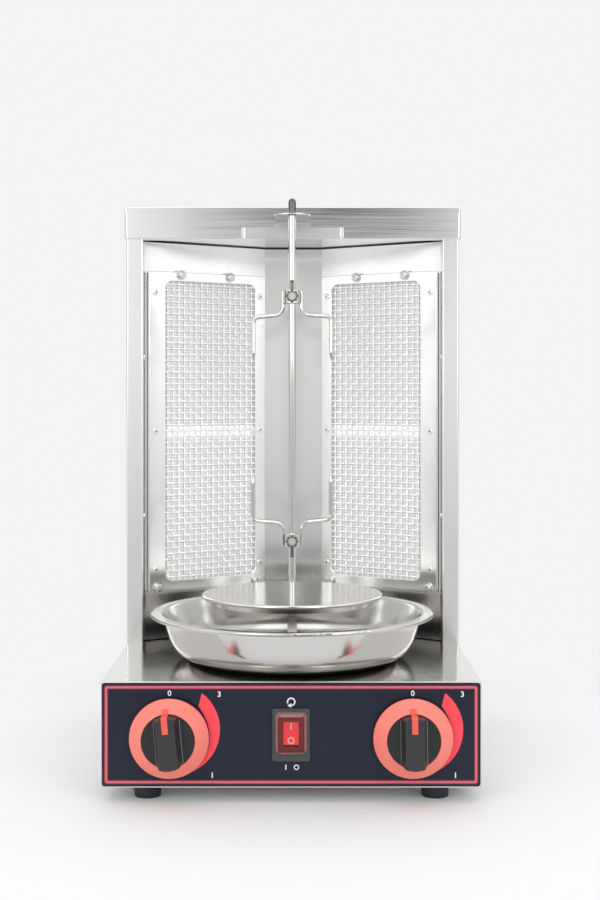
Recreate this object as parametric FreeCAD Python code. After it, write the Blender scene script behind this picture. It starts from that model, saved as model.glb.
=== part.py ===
import FreeCAD, Part
import math
import os

from FreeCAD import Placement, Rotation, Vector

# Small vertical doner grill: two gas burners in a V behind a turning spit, over a drip pan.
# Millimetres. x to the right, y to the back, z up, with the feet resting on z = 0.
# A depth is counted back from the front face of the base.

# Base box
base_width = 330.0
base_depth = 340.0
total_height = 540.0
deck_height = 105.6
foot_height = 13.9
sheet = 1.0
flange_width = 10.0
base_bend = 1.5

# Clearances
seat_gap = 0.3
running_gap = 0.05
press_slip = 0.02
fastener_gap = 0.1
head_rounding = 0.9

# Feet
foot_top_radius = 13.2
foot_bottom_radius = 11.6
foot_inset_x = 38.0
foot_inset_y = 27.0
foot_recess_radius = 4.6
foot_recess_depth = 6.0

# Fasteners: M4 pan-head screws, M4 burner bolts with washers and pop rivets
screw_radius = 1.95
screw_head_radius = 3.8
screw_head_height = 2.4
screw_hole_gap = 0.15
screw_grip = 4.0
floor_screw_shift = 1.0
rivet_tail = 1.5
bolt_radius = 2.0
bolt_head_radius = 4.1
bolt_head_height = 2.8
washer_radius = 5.3
washer_thickness = 1.0
rivet_radius = 1.6
rivet_head_radius = 3.1
rivet_head_height = 1.1
mandrel_radius = 0.9
recess_width = 0.9
recess_depth = 1.2

# Printed front overlay
overlay_thickness = 0.4
overlay_margin_side = 1.0
overlay_margin_edge = 1.0
overlay_corner = 2.6

# Knobs
knob_x = 105.3
knob_z = 57.5
knob_gap = 4.5
skirt_radius = 34.4
skirt_depth = 12.0
skirt_wall = 2.0
skirt_rim = 2.2
skirt_bevel = 1.2
skirt_lip = 1.4
skirt_fold = 0.6
dial_gap = 0.2
dial_radius = 23.0
dial_thickness = 2.4
bar_width = 16.4
bar_height = 14.0
bar_draft = 3.2
bar_end_draft = 0.3
bar_root = 1.0
bar_end_inset = 0.4
bar_edge_radius = 0.9
pointer_width = 5.2
pointer_proud = 0.8
pointer_inner = 9.5
pointer_outer = 27.4
pointer_sink = 1.0
pointer_shoulder = 0.6
pointer_bevel = 1.2
pointer_root = 2.2
pointer_drop = 1.5
pointer_foot = 6.0
hub_radius = 7.5
left_knob_lean = 5.5
right_knob_lean = 1.0

# Gas valves
stem_radius = 4.0
stem_flat = 1.2
stem_hole_radius = 6.0
stem_grip = 9.0
stem_slip = 0.02
valve_width = 24.0
valve_length = 36.0
valve_height = 26.0
valve_nose_radius = 9.0
valve_nose_length = 8.0
valve_edge = 3.0
valve_boss_wall = 1.5
cup_radius = 6.5
cup_thickness = 3.0
cup_depth = 24.0
cup_room = 5.0
outlet_radius = 6.0
outlet_length = 9.0

# Gas pipes
manifold_radius = 6.0
manifold_wall = 1.2
manifold_depth = 30.0
manifold_z = 34.0
manifold_end = 14.0
collar_wall = 1.0
feed_x = 62.0
pipe_radius = 4.0
pipe_bend = 16.0
pipe_hole_radius = 8.5
pipe_stand = 5.0
inlet_flange_radius = 11.0
inlet_flange_thickness = 6.0
inlet_nozzle_radius = 4.5
inlet_nozzle_length = 15.0
inlet_tip_radius = 3.8
inlet_tip_length = 2.0
inlet_bore_radius = 2.8
inlet_socket_length = 14.0

# Injectors and mixer tubes
injector_radius = 6.5
injector_height = 12.0
injector_socket = 4.0
nozzle_radius = 2.6
nozzle_height = 5.0
nozzle_wall = 1.5
mixer_radius = 9.0
mixer_wall = 1.4
mixer_setback = 20.0
mixer_mouth_radius = 12.5
mixer_mouth_height = 4.0
mixer_mouth_rise = 1.5

# Rocker switch
switch_z = 59.9
bezel_width = 32.6
bezel_height = 45.5
bezel_thickness = 2.2
bezel_corner = 2.0
housing_width = 26.8
housing_height = 37.5
housing_depth = 24.0
rocker_rise = 0.7
rocker_width = 13.2
rocker_reach = 10.6
rocker_pivot_depth = 3.0
rocker_face = 5.4
rocker_throw = 18.0
rocker_back = 3.5
pivot_radius = 1.5
pivot_length = 1.4
boot_width = 28.4
boot_height = 36.8
boot_depth = 7.0
boot_wall = 1.0
boot_corner = 5.0
boot_draft = 1.4
boot_bevel = 1.6
boot_rise = 1.6
terminal_width = 4.8
terminal_thickness = 0.8
terminal_length = 7.0
terminal_spacing = 12.0

# Gear motor
motor_radius = 28.0
motor_height = 34.0
motor_drop = 18.6
motor_boss_radius = 9.0
motor_boss_height = 2.5
motor_ear_reach = 9.0
motor_ear_width = 12.0
motor_ear_thickness = 2.0
motor_edge = 2.0
motor_screw_inset = 4.5
bracket_sheet = 1.5
bracket_bend = 1.6
bracket_leg_x = 44.0
bracket_foot = 12.0
bracket_half_depth = 18.0
drive_shaft_radius = 4.0
drive_shaft_sink = 10.0

# Spit
spit_depth = 114.0
socket_radius = 7.5
socket_drop = 10.6
socket_rise = 22.4
seat_rise = 7.9
socket_chamfer = 0.8
spit_radius = 3.5
spit_rise = 14.5
tang_width = 4.0
tang_height = 5.5
bush_radius = 11.0
bush_flange_radius = 15.0
bush_flange_thickness = 2.0
bush_length = 8.0

# Meat disc
disc_radius = 85.3
disc_rise = 16.7
disc_edge = 7.4
disc_sheet = 1.5
disc_bend = 1.2
disc_taper = 6.6
disc_hub_radius = 4.8

# Skewer forks
upper_fork_drop = 78.6
lower_fork_rise = 49.7
fork_hub_radius = 8.0
fork_hub_height = 13.0
fork_wire_radius = 2.0
fork_wire_sink = 1.1
fork_wire_start = 5.2
fork_arm_drop = 16.5
fork_arm_slope = 2.5
fork_reach = 37.5
upper_prong_length = 60.0
lower_prong_length = 61.5
fork_inner_bend = 7.5
fork_outer_bend = 5.5
prong_point = 7.0
prong_tip_radius = 0.3
fork_hub_chamfer = 0.8
thumb_chamfer = 0.6
thumb_groove = 0.9
thumb_grooves = 8
upper_fork_turn = -12.0
lower_fork_turn = 12.0
thumb_radius = 2.5
thumb_head_radius = 5.8
thumb_head_length = 6.0
thumb_head_gap = 1.0
lever_radius = 1.5
lever_ball_radius = 1.875
lever_length = 13.5

# Drip pan
pan_sheet = 1.0
pan_rim_radius = 132.8
pan_height = 44.4
pan_corner_radius = 109.0
pan_bend = 30.0
pan_lip_width = 9.6
pan_lip_bend = 2.4
pan_edge_drop = 2.6
pan_edge_bend = 1.2
pan_collar_radius = 9.5
pan_collar_height = 18.4
pan_collar_bend = 3.0

# Tower
tower_depth = 182.0
post_width = 16.4
post_bend = 1.0
return_end_gap = 1.5
rear_flange = 12.0
tower_screw_rise = 20.0
tower_screw_drop = 45.0
base_screw_inset = 12.0
wall_setback = 24.0
wall_rise = 77.5
back_half_width = 28.9
wall_sheet = 0.8
wall_bend = 0.8
wall_slit = 0.2
wall_cutout_gap = 0.4
wall_foot_gap = 1.0
wall_flange_setback = 5.0
wall_top_gap = 0.1
back_flange = 12.0

# Hood, ceiling and lid
hood_sheet = 1.2
hood_height = 25.7
hood_lip = 12.0
hood_top_flange = 9.0
hood_bend = 1.6
lid_height = 6.0
lid_bend = 1.2
ceiling_sheet = 0.8

# Spit bracket on the hood
tongue_width = 34.0
tongue_rise = 16.7
tongue_past_spit = 8.0
tongue_corner = 15.0
tongue_bend = 2.6
tray_width = 101.0
tray_height = 10.5
tray_standoff = 9.0
tray_overlap = 2.0
tray_bend = 3.4
bracket_thickness = 1.2
bracket_hole_gap = 1.0

# Burners, placed along the wall from its outer edge
frame_start = 1.8
frame_end_gap = 4.8
frame_rise = 48.7
frame_drop = 29.2
frame_proud = 5.0
frame_sheet = 0.8
frame_lift = 1.0
frame_corner = 3.0
frame_edge = 0.7
border_outer = 18.5
border_inner = 11.6
border_bottom = 11.2
border_top = 9.4
opening_corner = 8.0
opening_lip = 1.4
plaque_margin = 1.5
plaque_thickness = 13.0
joint_drop = 2.15
joint_height = 10.9
joint_proud = 0.6
box_wall = 1.0
box_depth = 30.0
box_ledge = 4.0
box_flange_inset = 2.4
plaque_gap = 0.2
mesh_thickness = 1.2
mesh_pitch = 10.6
mesh_wire = 1.6
mesh_margin = 1.0
mesh_slit = 0.2
rivet_inset_outer = 7.2
rivet_inset_inner = 6.0
rivet_inset_top = 21.7
rivet_inset_bottom = 22.9
rivet_middle_rise = 0.35
top_bolt_outer = 36.4
top_bolt_inner = 42.3
bottom_bolt_outer = 9.2
bottom_bolt_inner = 11.3
top_bolt_inset = 3.0
bottom_bolt_inset = 4.4
post_rivet_setback = 13.0
post_rivet_drop = 141.3
post_rivet_rise = 127.4

# Openings in the covers
slot_length = 44.0
slot_height = 4.0
slot_pitch = 14.0
rear_slot_rows = 8
rear_slot_drop = 152.8
rear_slot_x = 60.0
base_slot_rows = 3
base_slot_bottom = 40.0
floor_slot_rows = 5
floor_slot_depth = 200.0

# Electrical inlet and leads
gland_x = -62.0
gland_z = 60.0
gland_nut_radius = 9.5
gland_nut_length = 9.0
gland_nut_straight = 5.4
gland_nut_end = 6.2
gland_thread_radius = 6.0
gland_thread_length = 8.0
gland_bore_radius = 3.4
mains_lead_radius = 3.0
motor_lead_radius = 1.5
lead_reach = 90.0
lead_sag = 6.0
lead_rise = 4.0
lead_side_step = 14.0
lead_front_room = 32.0
lead_straight = 22.0
lead_slow_bend = 120.0
lead_wide_bend = 150.0
lead_short_bend = 40.0
lead_end_bend = 16.0
motor_lead_bend = 12.0

# Places worked out from the sizes above
half_width = base_width / 2
knob_reach = knob_gap + skirt_depth + bar_height + pointer_proud
inlet_reach = inlet_flange_thickness + inlet_nozzle_length + inlet_tip_length
front_y = (knob_reach - base_depth - inlet_reach) / 2
inner_z = deck_height - sheet
plate_z = foot_height + sheet
inside_half = half_width - sheet - seat_gap
axis_y = front_y + spit_depth
post_inner = half_width - post_width
wall_start_depth = tower_depth + wall_setback
wall_end_depth = wall_start_depth + wall_rise
wall_flange_start = tower_depth + wall_flange_setback
post_rivet_depth = tower_depth + post_rivet_setback
wall_run = post_inner - back_half_width
wall_angle = math.degrees(math.atan2(wall_rise, wall_run))
wall_length = math.hypot(wall_run, wall_rise)
sin_wall = wall_rise / wall_length
cos_wall = wall_run / wall_length
hood_half = half_width + seat_gap + hood_sheet
hood_front = tower_depth - seat_gap - hood_sheet
rear_cover_depth = base_depth - sheet - 0.2
rear_flange_depth = rear_cover_depth - 0.2
lid_bottom = total_height - lid_height
tower_height = lid_bottom - hood_sheet
hood_bottom = lid_bottom - hood_height
wall_top = hood_bottom - wall_top_gap
tray_top = hood_bottom + tray_height
tongue_top = hood_bottom + tongue_rise
tongue_front_depth = spit_depth - tongue_past_spit
spit_top = tongue_top + spit_rise
rear_slot_bottom = tower_height - rear_slot_drop
pan_floor = deck_height + seat_gap
rocker_z = switch_z + rocker_rise
boot_z = switch_z + boot_rise
pan_rim_z = pan_floor + pan_height
disc_top = pan_rim_z + disc_rise
upper_fork_z = tongue_top - upper_fork_drop
lower_fork_z = disc_top + lower_fork_rise
socket_top = deck_height + socket_rise
socket_seat = deck_height + seat_rise
socket_bottom = inner_z - socket_drop
motor_top = inner_z - motor_drop
frame_end = wall_length - frame_end_gap
frame_bottom = deck_height + frame_rise
frame_top = wall_top - frame_drop
opening_start = frame_start + border_outer
opening_end = frame_end - border_inner
opening_bottom = frame_bottom + border_bottom
opening_top = frame_top - border_top
joint_center = (opening_bottom + opening_top) / 2 - joint_drop
rivet_rows = (frame_top - rivet_inset_top,
              (frame_bottom + frame_top) / 2 + rivet_middle_rise,
              frame_bottom + rivet_inset_bottom)
top_bolt_places = (frame_start + top_bolt_outer, frame_end - top_bolt_inner)
bottom_bolt_places = (frame_start + bottom_bolt_outer, frame_end - bottom_bolt_inner)
post_rivet_rows = (tower_height - post_rivet_drop, deck_height + post_rivet_rise)
mixer_place = (post_inner - knob_x + mixer_setback * sin_wall) / cos_wall
mixer_depth = wall_start_depth + mixer_place * sin_wall + mixer_setback * cos_wall
plaque_start = opening_start - plaque_margin
plaque_end = opening_end + plaque_margin
plaque_bottom = opening_bottom - plaque_margin
plaque_top = opening_top + plaque_margin
box_start = plaque_start - plaque_gap - box_wall
box_end = plaque_end + plaque_gap + box_wall
box_bottom = plaque_bottom - plaque_gap - box_wall
box_top = plaque_top + plaque_gap + box_wall
mixer_mouth_z = deck_height + pipe_stand + injector_height - injector_socket + mixer_mouth_rise
bearing_bore = socket_radius + running_gap
spit_bore = spit_radius + running_gap

os.makedirs("parts", exist_ok=True)
nodes = {}


def back(depth):
    """The y of a depth behind the front face of the base."""
    return front_y + depth


def block(x0, x1, d0, d1, z0, z1):
    """A box between two widths, two depths and two heights."""
    return Part.makeBox(x1 - x0, d1 - d0, z1 - z0, Vector(x0, back(d0), z0))


def slab(u0, u1, b0, b1, z0, z1):
    """A box in wall coordinates: along the wall, behind its face, and up."""
    return Part.makeBox(u1 - u0, b1 - b0, z1 - z0, Vector(u0, b0, z0))


def upright(x, depth, radius, z0, z1):
    return Part.makeCylinder(radius, z1 - z0, Vector(x, back(depth), z0), Vector(0, 0, 1))


def level(x, d0, d1, z, radius):
    """A cylinder that runs from front to back."""
    return Part.makeCylinder(radius, d1 - d0, Vector(x, back(d0), z), Vector(0, 1, 0))


def placed(shape, origin, direction):
    """Turns a shape that points along +z to a direction and moves its foot to origin."""
    copy = shape.copy()
    copy.Placement = Placement(origin, Rotation(Vector(0, 0, 1), direction))
    return copy


def mirrored(shape):
    return shape.mirror(Vector(0, 0, 0), Vector(1, 0, 0))


def on_side(shape, side):
    """The left-hand piece as it is, or its mirror image on the right."""
    return shape if side == "left" else mirrored(shape)


def on_wall(shape):
    """Moves a piece from wall coordinates to the left burner wall."""
    copy = shape.copy()
    corner = Placement(Vector(-post_inner, back(wall_start_depth), 0),
                       Rotation(Vector(0, 0, 1), wall_angle))
    copy.Placement = corner.multiply(shape.Placement)
    return copy


def joined(pieces):
    return pieces[0].fuse(pieces[1:]).removeSplitter()


def rounded_rectangle(a0, a1, b0, b1, radius, place):
    """A wire round a rectangle with arc corners; place turns (a, b) into a point."""
    r = radius
    k = r * (1 - math.sqrt(0.5))
    corners = [((a1 - r, b0), (a1 - k, b0 + k), (a1, b0 + r)),
               ((a1, b1 - r), (a1 - k, b1 - k), (a1 - r, b1)),
               ((a0 + r, b1), (a0 + k, b1 - k), (a0, b1 - r)),
               ((a0, b0 + r), (a0 + k, b0 + k), (a0 + r, b0))]
    edges = []
    for number, (start, middle, end) in enumerate(corners):
        edges.append(Part.Arc(place(*start), place(*middle), place(*end)).toShape())
        following = corners[(number + 1) % len(corners)][0]
        edges.append(Part.LineSegment(place(*end), place(*following)).toShape())
    return Part.Wire(edges)


def bends(points, radii):
    """Tangent points and arc centres where a route of straight runs turns."""
    turns = []
    for before, here, after, radius in zip(points, points[1:], points[2:], radii):
        into = (here - before).normalize()
        out = (after - here).normalize()
        half_turn = into.getAngle(out) / 2
        trim = radius * math.tan(half_turn)
        start = here - into * trim
        end = here + out * trim
        inward = (out - into).normalize()
        centre = here + inward * (radius / math.cos(half_turn))
        turns.append((start, end, centre, inward))
    return turns


def route(points, radii):
    """A wire of straight runs joined by tangent arcs."""
    edges = []
    last = points[0]
    for (start, end, centre, inward), radius in zip(bends(points, radii), radii):
        edges.append(Part.LineSegment(last, start).toShape())
        edges.append(Part.Arc(start, centre - inward * radius, end).toShape())
        last = end
    edges.append(Part.LineSegment(last, points[-1]).toShape())
    return Part.Wire(edges)


def tube_along(points, radii, radius):
    """A round bar that follows a route."""
    wire = route(points, radii)
    direction = (points[1] - points[0]).normalize()
    ring = Part.Wire([Part.Circle(points[0], direction, radius).toShape()])
    return wire.makePipeShell([ring], True, False)


def strip_face(points, radii, thickness, place, normal):
    """The section of a bent sheet: its centre line with a thickness, as a face."""
    line = [place(*point) for point in points]
    turns = bends(line, radii)

    def side_edges(sign):
        def beside(point, along):
            return point + normal.cross(along).normalize() * (sign * thickness / 2)

        edges = []
        last = beside(line[0], line[1] - line[0])
        for number, (start, end, centre, inward) in enumerate(turns):
            into = line[number + 1] - line[number]
            out = line[number + 2] - line[number + 1]
            first, second = beside(start, into), beside(end, out)
            reach = (first - centre).Length
            edges.append(Part.LineSegment(last, first).toShape())
            edges.append(Part.Arc(first, centre - inward * reach, second).toShape())
            last = second
        final = beside(line[-1], line[-1] - line[-2])
        edges.append(Part.LineSegment(last, final).toShape())
        return edges, beside(line[0], line[1] - line[0]), final

    left, left_start, left_end = side_edges(1)
    right, right_start, right_end = side_edges(-1)
    ends = [Part.LineSegment(left_end, right_end).toShape(),
            Part.LineSegment(left_start, right_start).toShape()]
    return Part.Face(Part.Wire(Part.__sortEdges__(left + right + ends)))


def bent_sheet(points, radii, thickness, z0, z1):
    """A folded upright sheet from the plan of its centre line, in widths and depths."""
    face = strip_face(points, radii, thickness, lambda x, d: Vector(x, back(d), z0),
                      Vector(0, 0, 1))
    return face.extrude(Vector(0, 0, z1 - z0))


def spun_sheet(points, radii, thickness, x, depth):
    """A spun sheet from the radii and heights of its centre line."""
    face = strip_face(points, radii, thickness, lambda r, z: Vector(r, 0, z),
                      Vector(0, -1, 0))
    shape = face.revolve(Vector(0, 0, 0), Vector(0, 0, 1), 360)
    shape.translate(Vector(x, back(depth), 0))
    return shape


def turned(profile, origin, direction):
    """A turned piece from (radius, length) points, set on an axis."""
    wire = Part.makePolygon([Vector(r, 0, h) for r, h in profile + profile[:1]])
    shape = Part.Face(wire).revolve(Vector(0, 0, 0), Vector(0, 0, 1), 360)
    return placed(shape, origin, direction)


def edges_where(shape, test):
    return [edge for edge in shape.Edges if test(edge.BoundBox)]


def cross_recess(top, width, reach, depth):
    """The cross slot cut into a screw head that points along +z."""
    along = Part.makeBox(2 * reach, width, depth, Vector(-reach, -width / 2, top - depth))
    across = Part.makeBox(width, 2 * reach, depth, Vector(-width / 2, -reach, top - depth))
    return along.fuse(across)


def pan_head_screw(length):
    """Head above z = 0, shank below."""
    shank = Part.makeCylinder(screw_radius, length, Vector(0, 0, -length))
    head = Part.makeCylinder(screw_head_radius, screw_head_height)
    rim = edges_where(head, lambda b: b.ZMin > screw_head_height * head_rounding)
    head = head.makeFillet(screw_head_height * 0.45, rim)
    screw = joined([shank, head])
    return screw.cut(cross_recess(screw_head_height, recess_width,
                                  screw_head_radius * 0.6, recess_depth))


def burner_bolt():
    """Washer and round head above z = 0, shank through frame, box flange and wall."""
    reach = frame_proud + wall_sheet + screw_grip
    shank = Part.makeCylinder(bolt_radius, reach, Vector(0, 0, -reach))
    washer = Part.makeCylinder(washer_radius, washer_thickness)
    head = Part.makeCylinder(bolt_head_radius, bolt_head_height, Vector(0, 0, washer_thickness))
    top = washer_thickness + bolt_head_height
    head = head.makeFillet(bolt_head_height * 0.5,
                           edges_where(head, lambda b: b.ZMin > top - 0.1))
    bolt = joined([shank, washer, head])
    return bolt.cut(cross_recess(top, recess_width, bolt_head_radius * 0.62, recess_depth))


def pop_rivet(reach):
    """Domed head above z = 0 with the open mandrel hole, shank below."""
    shank = Part.makeCylinder(rivet_radius, reach, Vector(0, 0, -reach))
    head = Part.makeCylinder(rivet_head_radius, rivet_head_height)
    head = head.makeFillet(rivet_head_height * 0.8,
                           edges_where(head, lambda b: b.ZMin > rivet_head_height * head_rounding))
    hole = Part.makeCylinder(mandrel_radius, rivet_head_height * 2)
    return joined([shank, head]).cut(hole)


# Base box

foot_places = [(side * (half_width - foot_inset_x), depth)
               for side in (-1, 1) for depth in (foot_inset_y, base_depth - foot_inset_y)]
rear_screw_x = half_width - sheet - rear_flange / 2
base_rear_screws = [(side * rear_screw_x, z) for side in (-1, 1)
                    for z in (plate_z + base_screw_inset, inner_z - base_screw_inset)]
tower_rear_screws = [(side * rear_screw_x, z) for side in (-1, 1)
                     for z in (deck_height + tower_screw_rise, (deck_height + tower_height) / 2,
                               tower_height - tower_screw_drop)]
floor_screws = [(side * (half_width - flange_width / 2 - floor_screw_shift), base_depth / 2)
                for side in (-1, 1)]
screw_hole = screw_radius + screw_hole_gap


def make_base_shell():
    outer = block(-half_width, half_width, 0, base_depth, foot_height, deck_height)
    outer = outer.makeFillet(base_bend, edges_where(outer, lambda b: (
        b.ZMin > deck_height - 0.1 and b.YMax < back(base_depth) - 0.1
        or b.ZMin > deck_height - 0.1 and b.XLength < 0.1
        or b.YMax < back(0) + 0.1 and b.XLength < 0.1)))
    inner = block(-half_width + sheet, half_width - sheet, sheet, base_depth + 1,
                  foot_height - 1, inner_z)
    shell = outer.cut(inner)
    edge = half_width - sheet
    flanges = [block(-edge, edge, sheet, flange_width, foot_height, plate_z)]
    for side in (-1, 1):
        inside = sorted((side * edge, side * (half_width - flange_width)))
        flanges.append(block(inside[0], inside[1], sheet, rear_flange_depth, foot_height, plate_z))
        behind = sorted((side * edge, side * (edge - rear_flange)))
        flanges.append(block(behind[0], behind[1], rear_flange_depth - sheet,
                             rear_flange_depth, foot_height, inner_z))
    shell = joined([shell] + flanges)
    cuts = [upright(0, spit_depth, bush_radius + 0.1, inner_z - 1, deck_height + 1)]
    for side in (-1, 1):
        cuts.append(level(side * knob_x, -1, sheet + 1, knob_z, stem_hole_radius))
        cuts.append(upright(side * knob_x, mixer_depth, pipe_hole_radius, inner_z - 1,
                            deck_height + 1))
    cuts.append(block(-housing_width / 2 - seat_gap, housing_width / 2 + seat_gap, -1, sheet + 1,
                      switch_z - housing_height / 2 - seat_gap,
                      switch_z + housing_height / 2 + seat_gap))
    for x, z in base_rear_screws:
        cuts.append(level(x, rear_flange_depth - sheet - 1, rear_flange_depth + 1, z, screw_hole))
    for x, depth in floor_screws:
        cuts.append(upright(x, depth, screw_hole, foot_height - 1, plate_z + 1))
    return shell.cut(cuts)


def make_bottom_plate():
    plate = block(-inside_half, inside_half, sheet + seat_gap, rear_flange_depth - sheet - seat_gap,
                  plate_z, plate_z + sheet)
    cuts = [upright(x, depth, screw_hole, plate_z - 1, plate_z + sheet + 1)
            for x, depth in foot_places + floor_screws]
    for row in range(floor_slot_rows):
        depth = floor_slot_depth + row * slot_pitch
        for side in (-1, 1):
            middle = side * rear_slot_x
            cuts.append(block(middle - slot_length / 2, middle + slot_length / 2, depth,
                              depth + slot_height, plate_z - 1, plate_z + sheet + 1))
    return plate.cut(cuts)


def make_rear_plate():
    plate = block(-inside_half, inside_half, rear_cover_depth, rear_cover_depth + sheet,
                  foot_height, inner_z - seat_gap)
    cuts = [level(x, rear_cover_depth - 1, base_depth + 1, z, screw_hole)
            for x, z in base_rear_screws]
    cuts.append(level(feed_x, rear_cover_depth - 1, base_depth + 1, manifold_z,
                      manifold_radius + manifold_wall + collar_wall + seat_gap))
    cuts.append(level(gland_x, rear_cover_depth - 1, base_depth + 1, gland_z,
                      gland_thread_radius + 0.1))
    for row in range(base_slot_rows):
        z = base_slot_bottom + row * slot_pitch
        cuts.append(block(-slot_length / 2, slot_length / 2, rear_cover_depth - 1, base_depth + 1,
                          z, z + slot_height))
    return plate.cut(cuts)


def make_overlay():
    reach = half_width - overlay_margin_side
    low, high = foot_height + overlay_margin_edge, deck_height - overlay_margin_edge
    place = lambda x, z: Vector(x, back(-overlay_thickness), z)
    face = Part.Face(rounded_rectangle(-reach, reach, low, high, overlay_corner, place))
    plate = face.extrude(Vector(0, overlay_thickness, 0))
    cuts = [level(side * knob_x, -overlay_thickness - 1, 1, knob_z, stem_hole_radius)
            for side in (-1, 1)]
    cuts.append(block(-housing_width / 2 - seat_gap, housing_width / 2 + seat_gap,
                      -overlay_thickness - 1, 1, switch_z - housing_height / 2 - seat_gap,
                      switch_z + housing_height / 2 + seat_gap))
    return plate.cut(cuts)


def make_foot(x, depth):
    body = turned([(screw_hole, 0), (foot_bottom_radius, 0), (foot_top_radius, plate_z),
                   (screw_hole, plate_z)], Vector(x, back(depth), 0), Vector(0, 0, 1))
    return body.cut(upright(x, depth, foot_recess_radius, -1, foot_recess_depth))


nodes["base_shell"] = make_base_shell()
nodes["bottom_plate"] = make_bottom_plate()
nodes["rear_plate"] = make_rear_plate()
nodes["panel_overlay"] = make_overlay()
nodes["rubber_feet"] = [make_foot(x, depth) for x, depth in foot_places]

# Gas valves, manifold, pipes and injectors


def valve_solid():
    """Left gas valve: nose behind the panel, body over the manifold, outlet at the rear."""
    x = -knob_x
    front = sheet
    body_front = front + valve_nose_length
    body_back = body_front + valve_length
    body = block(x - valve_width / 2, x + valve_width / 2, body_front, body_back,
                 knob_z - valve_height / 2, knob_z + valve_height / 2)
    body = body.makeFillet(valve_edge, edges_where(body, lambda b: b.YLength > valve_length - 0.1))
    nose = level(x, front, body_front + 1, knob_z, valve_nose_radius)
    boss = upright(x, manifold_depth, manifold_radius + valve_boss_wall, manifold_z, knob_z)
    outlet = level(x, body_back - 1, body_back + outlet_length, knob_z, outlet_radius)
    valve = joined([body, nose, boss, outlet])
    pipe = Part.makeCylinder(manifold_radius, 4 * manifold_radius,
                             Vector(x - 2 * manifold_radius, back(manifold_depth), manifold_z),
                             Vector(1, 0, 0))
    under = block(x - valve_width, x + valve_width, body_front, body_back,
                  manifold_z - valve_height, manifold_z)
    stem_bore = level(x, 0, cup_depth, knob_z, stem_radius + running_gap)
    cup_bore = level(x, cup_depth - 0.5, cup_depth + cup_thickness + cup_room, knob_z,
                     cup_radius + running_gap)
    pipe_bore = level(x, body_back - 3, body_back + outlet_length + 1, knob_z, pipe_radius + press_slip)
    return valve.cut([pipe, under, stem_bore, cup_bore, pipe_bore])


def stem_solid():
    """Valve stem with a flat that carries the knob."""
    x = -knob_x
    start = -knob_gap - stem_grip
    stem = level(x, start, cup_depth, knob_z, stem_radius)
    flat = block(x - stem_radius, x + stem_radius, start - 1, -knob_gap,
                 knob_z + stem_radius - stem_flat, knob_z + stem_radius + 1)
    return stem.cut(flat)


def cup_solid():
    """The spring cup at the end of the stem, which is pushed in with the knob."""
    return level(-knob_x, cup_depth + press_slip, cup_depth + cup_thickness, knob_z, cup_radius)


def make_manifold():
    """Cross pipe under the valves, with the feed pipe from the rear inlet."""
    reach = knob_x + manifold_end
    bore = manifold_radius - manifold_wall
    cross = Part.makeCylinder(manifold_radius, 2 * reach,
                              Vector(-reach, back(manifold_depth), manifold_z), Vector(1, 0, 0))
    feed_end = base_depth - inlet_socket_length / 2
    feed = level(feed_x, manifold_depth, feed_end, manifold_z, manifold_radius)
    hollow = Part.makeCylinder(bore, 2 * reach - 2 * manifold_wall,
                               Vector(-reach + manifold_wall, back(manifold_depth), manifold_z),
                               Vector(1, 0, 0))
    feed_hollow = level(feed_x, manifold_depth, feed_end + 1, manifold_z, bore)
    return joined([cross, feed]).cut([hollow, feed_hollow])


def make_inlet():
    """Brass hose nozzle through the rear plate, with a socket for the feed pipe."""
    socket = manifold_radius + manifold_wall + collar_wall
    flange_end = inlet_socket_length + inlet_flange_thickness
    nozzle_end = flange_end + inlet_nozzle_length
    end = nozzle_end + inlet_tip_length
    half = inlet_socket_length / 2
    outline = [(manifold_radius + press_slip, 0), (socket, 0), (socket, inlet_socket_length),
               (inlet_flange_radius, inlet_socket_length), (inlet_flange_radius, flange_end),
               (inlet_nozzle_radius, flange_end), (inlet_nozzle_radius, nozzle_end),
               (inlet_tip_radius, end), (inlet_bore_radius, end),
               (inlet_bore_radius, half), (manifold_radius + press_slip, half)]
    foot = Vector(feed_x, back(base_depth - inlet_socket_length), manifold_z)
    return turned(outline, foot, Vector(0, 1, 0))


def gas_pipe_solid():
    """From the valve outlet straight back, then up through the deck to the injector."""
    start_depth = sheet + valve_nose_length + valve_length - 3
    top = deck_height + pipe_stand
    points = [Vector(-knob_x, back(start_depth), knob_z), Vector(-knob_x, back(mixer_depth), knob_z),
              Vector(-knob_x, back(mixer_depth), top)]
    return tube_along(points, [pipe_bend], pipe_radius)


def injector_solid():
    foot = deck_height + pipe_stand - injector_socket
    top = foot + injector_height
    body = turned([(0, 0), (injector_radius, 0), (injector_radius, injector_height - 2),
                   (nozzle_radius + nozzle_wall, injector_height), (nozzle_radius, injector_height),
                   (nozzle_radius, injector_height + nozzle_height), (0, injector_height + nozzle_height)],
                  Vector(-knob_x, back(mixer_depth), foot), Vector(0, 0, 1))
    socket = upright(-knob_x, mixer_depth, pipe_radius + press_slip, foot - 1, foot + injector_socket)
    jet = upright(-knob_x, mixer_depth, 0.5, foot, top + nozzle_height + 1)
    return body.cut([socket, jet])


for side in ("left", "right"):
    nodes["valve_body_" + side] = on_side(valve_solid(), side)
    nodes["valve_stem_" + side] = on_side(stem_solid(), side)
    nodes["spring_cup_" + side] = on_side(cup_solid(), side)
    nodes["gas_pipe_" + side] = on_side(gas_pipe_solid(), side)
nodes["gas_manifold"] = make_manifold()
nodes["gas_inlet"] = make_inlet()
nodes["injectors"] = [on_side(injector_solid(), side) for side in ("left", "right")]

# Knobs, each built on its own axis with the pointer up, then leaned and moved out


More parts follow.
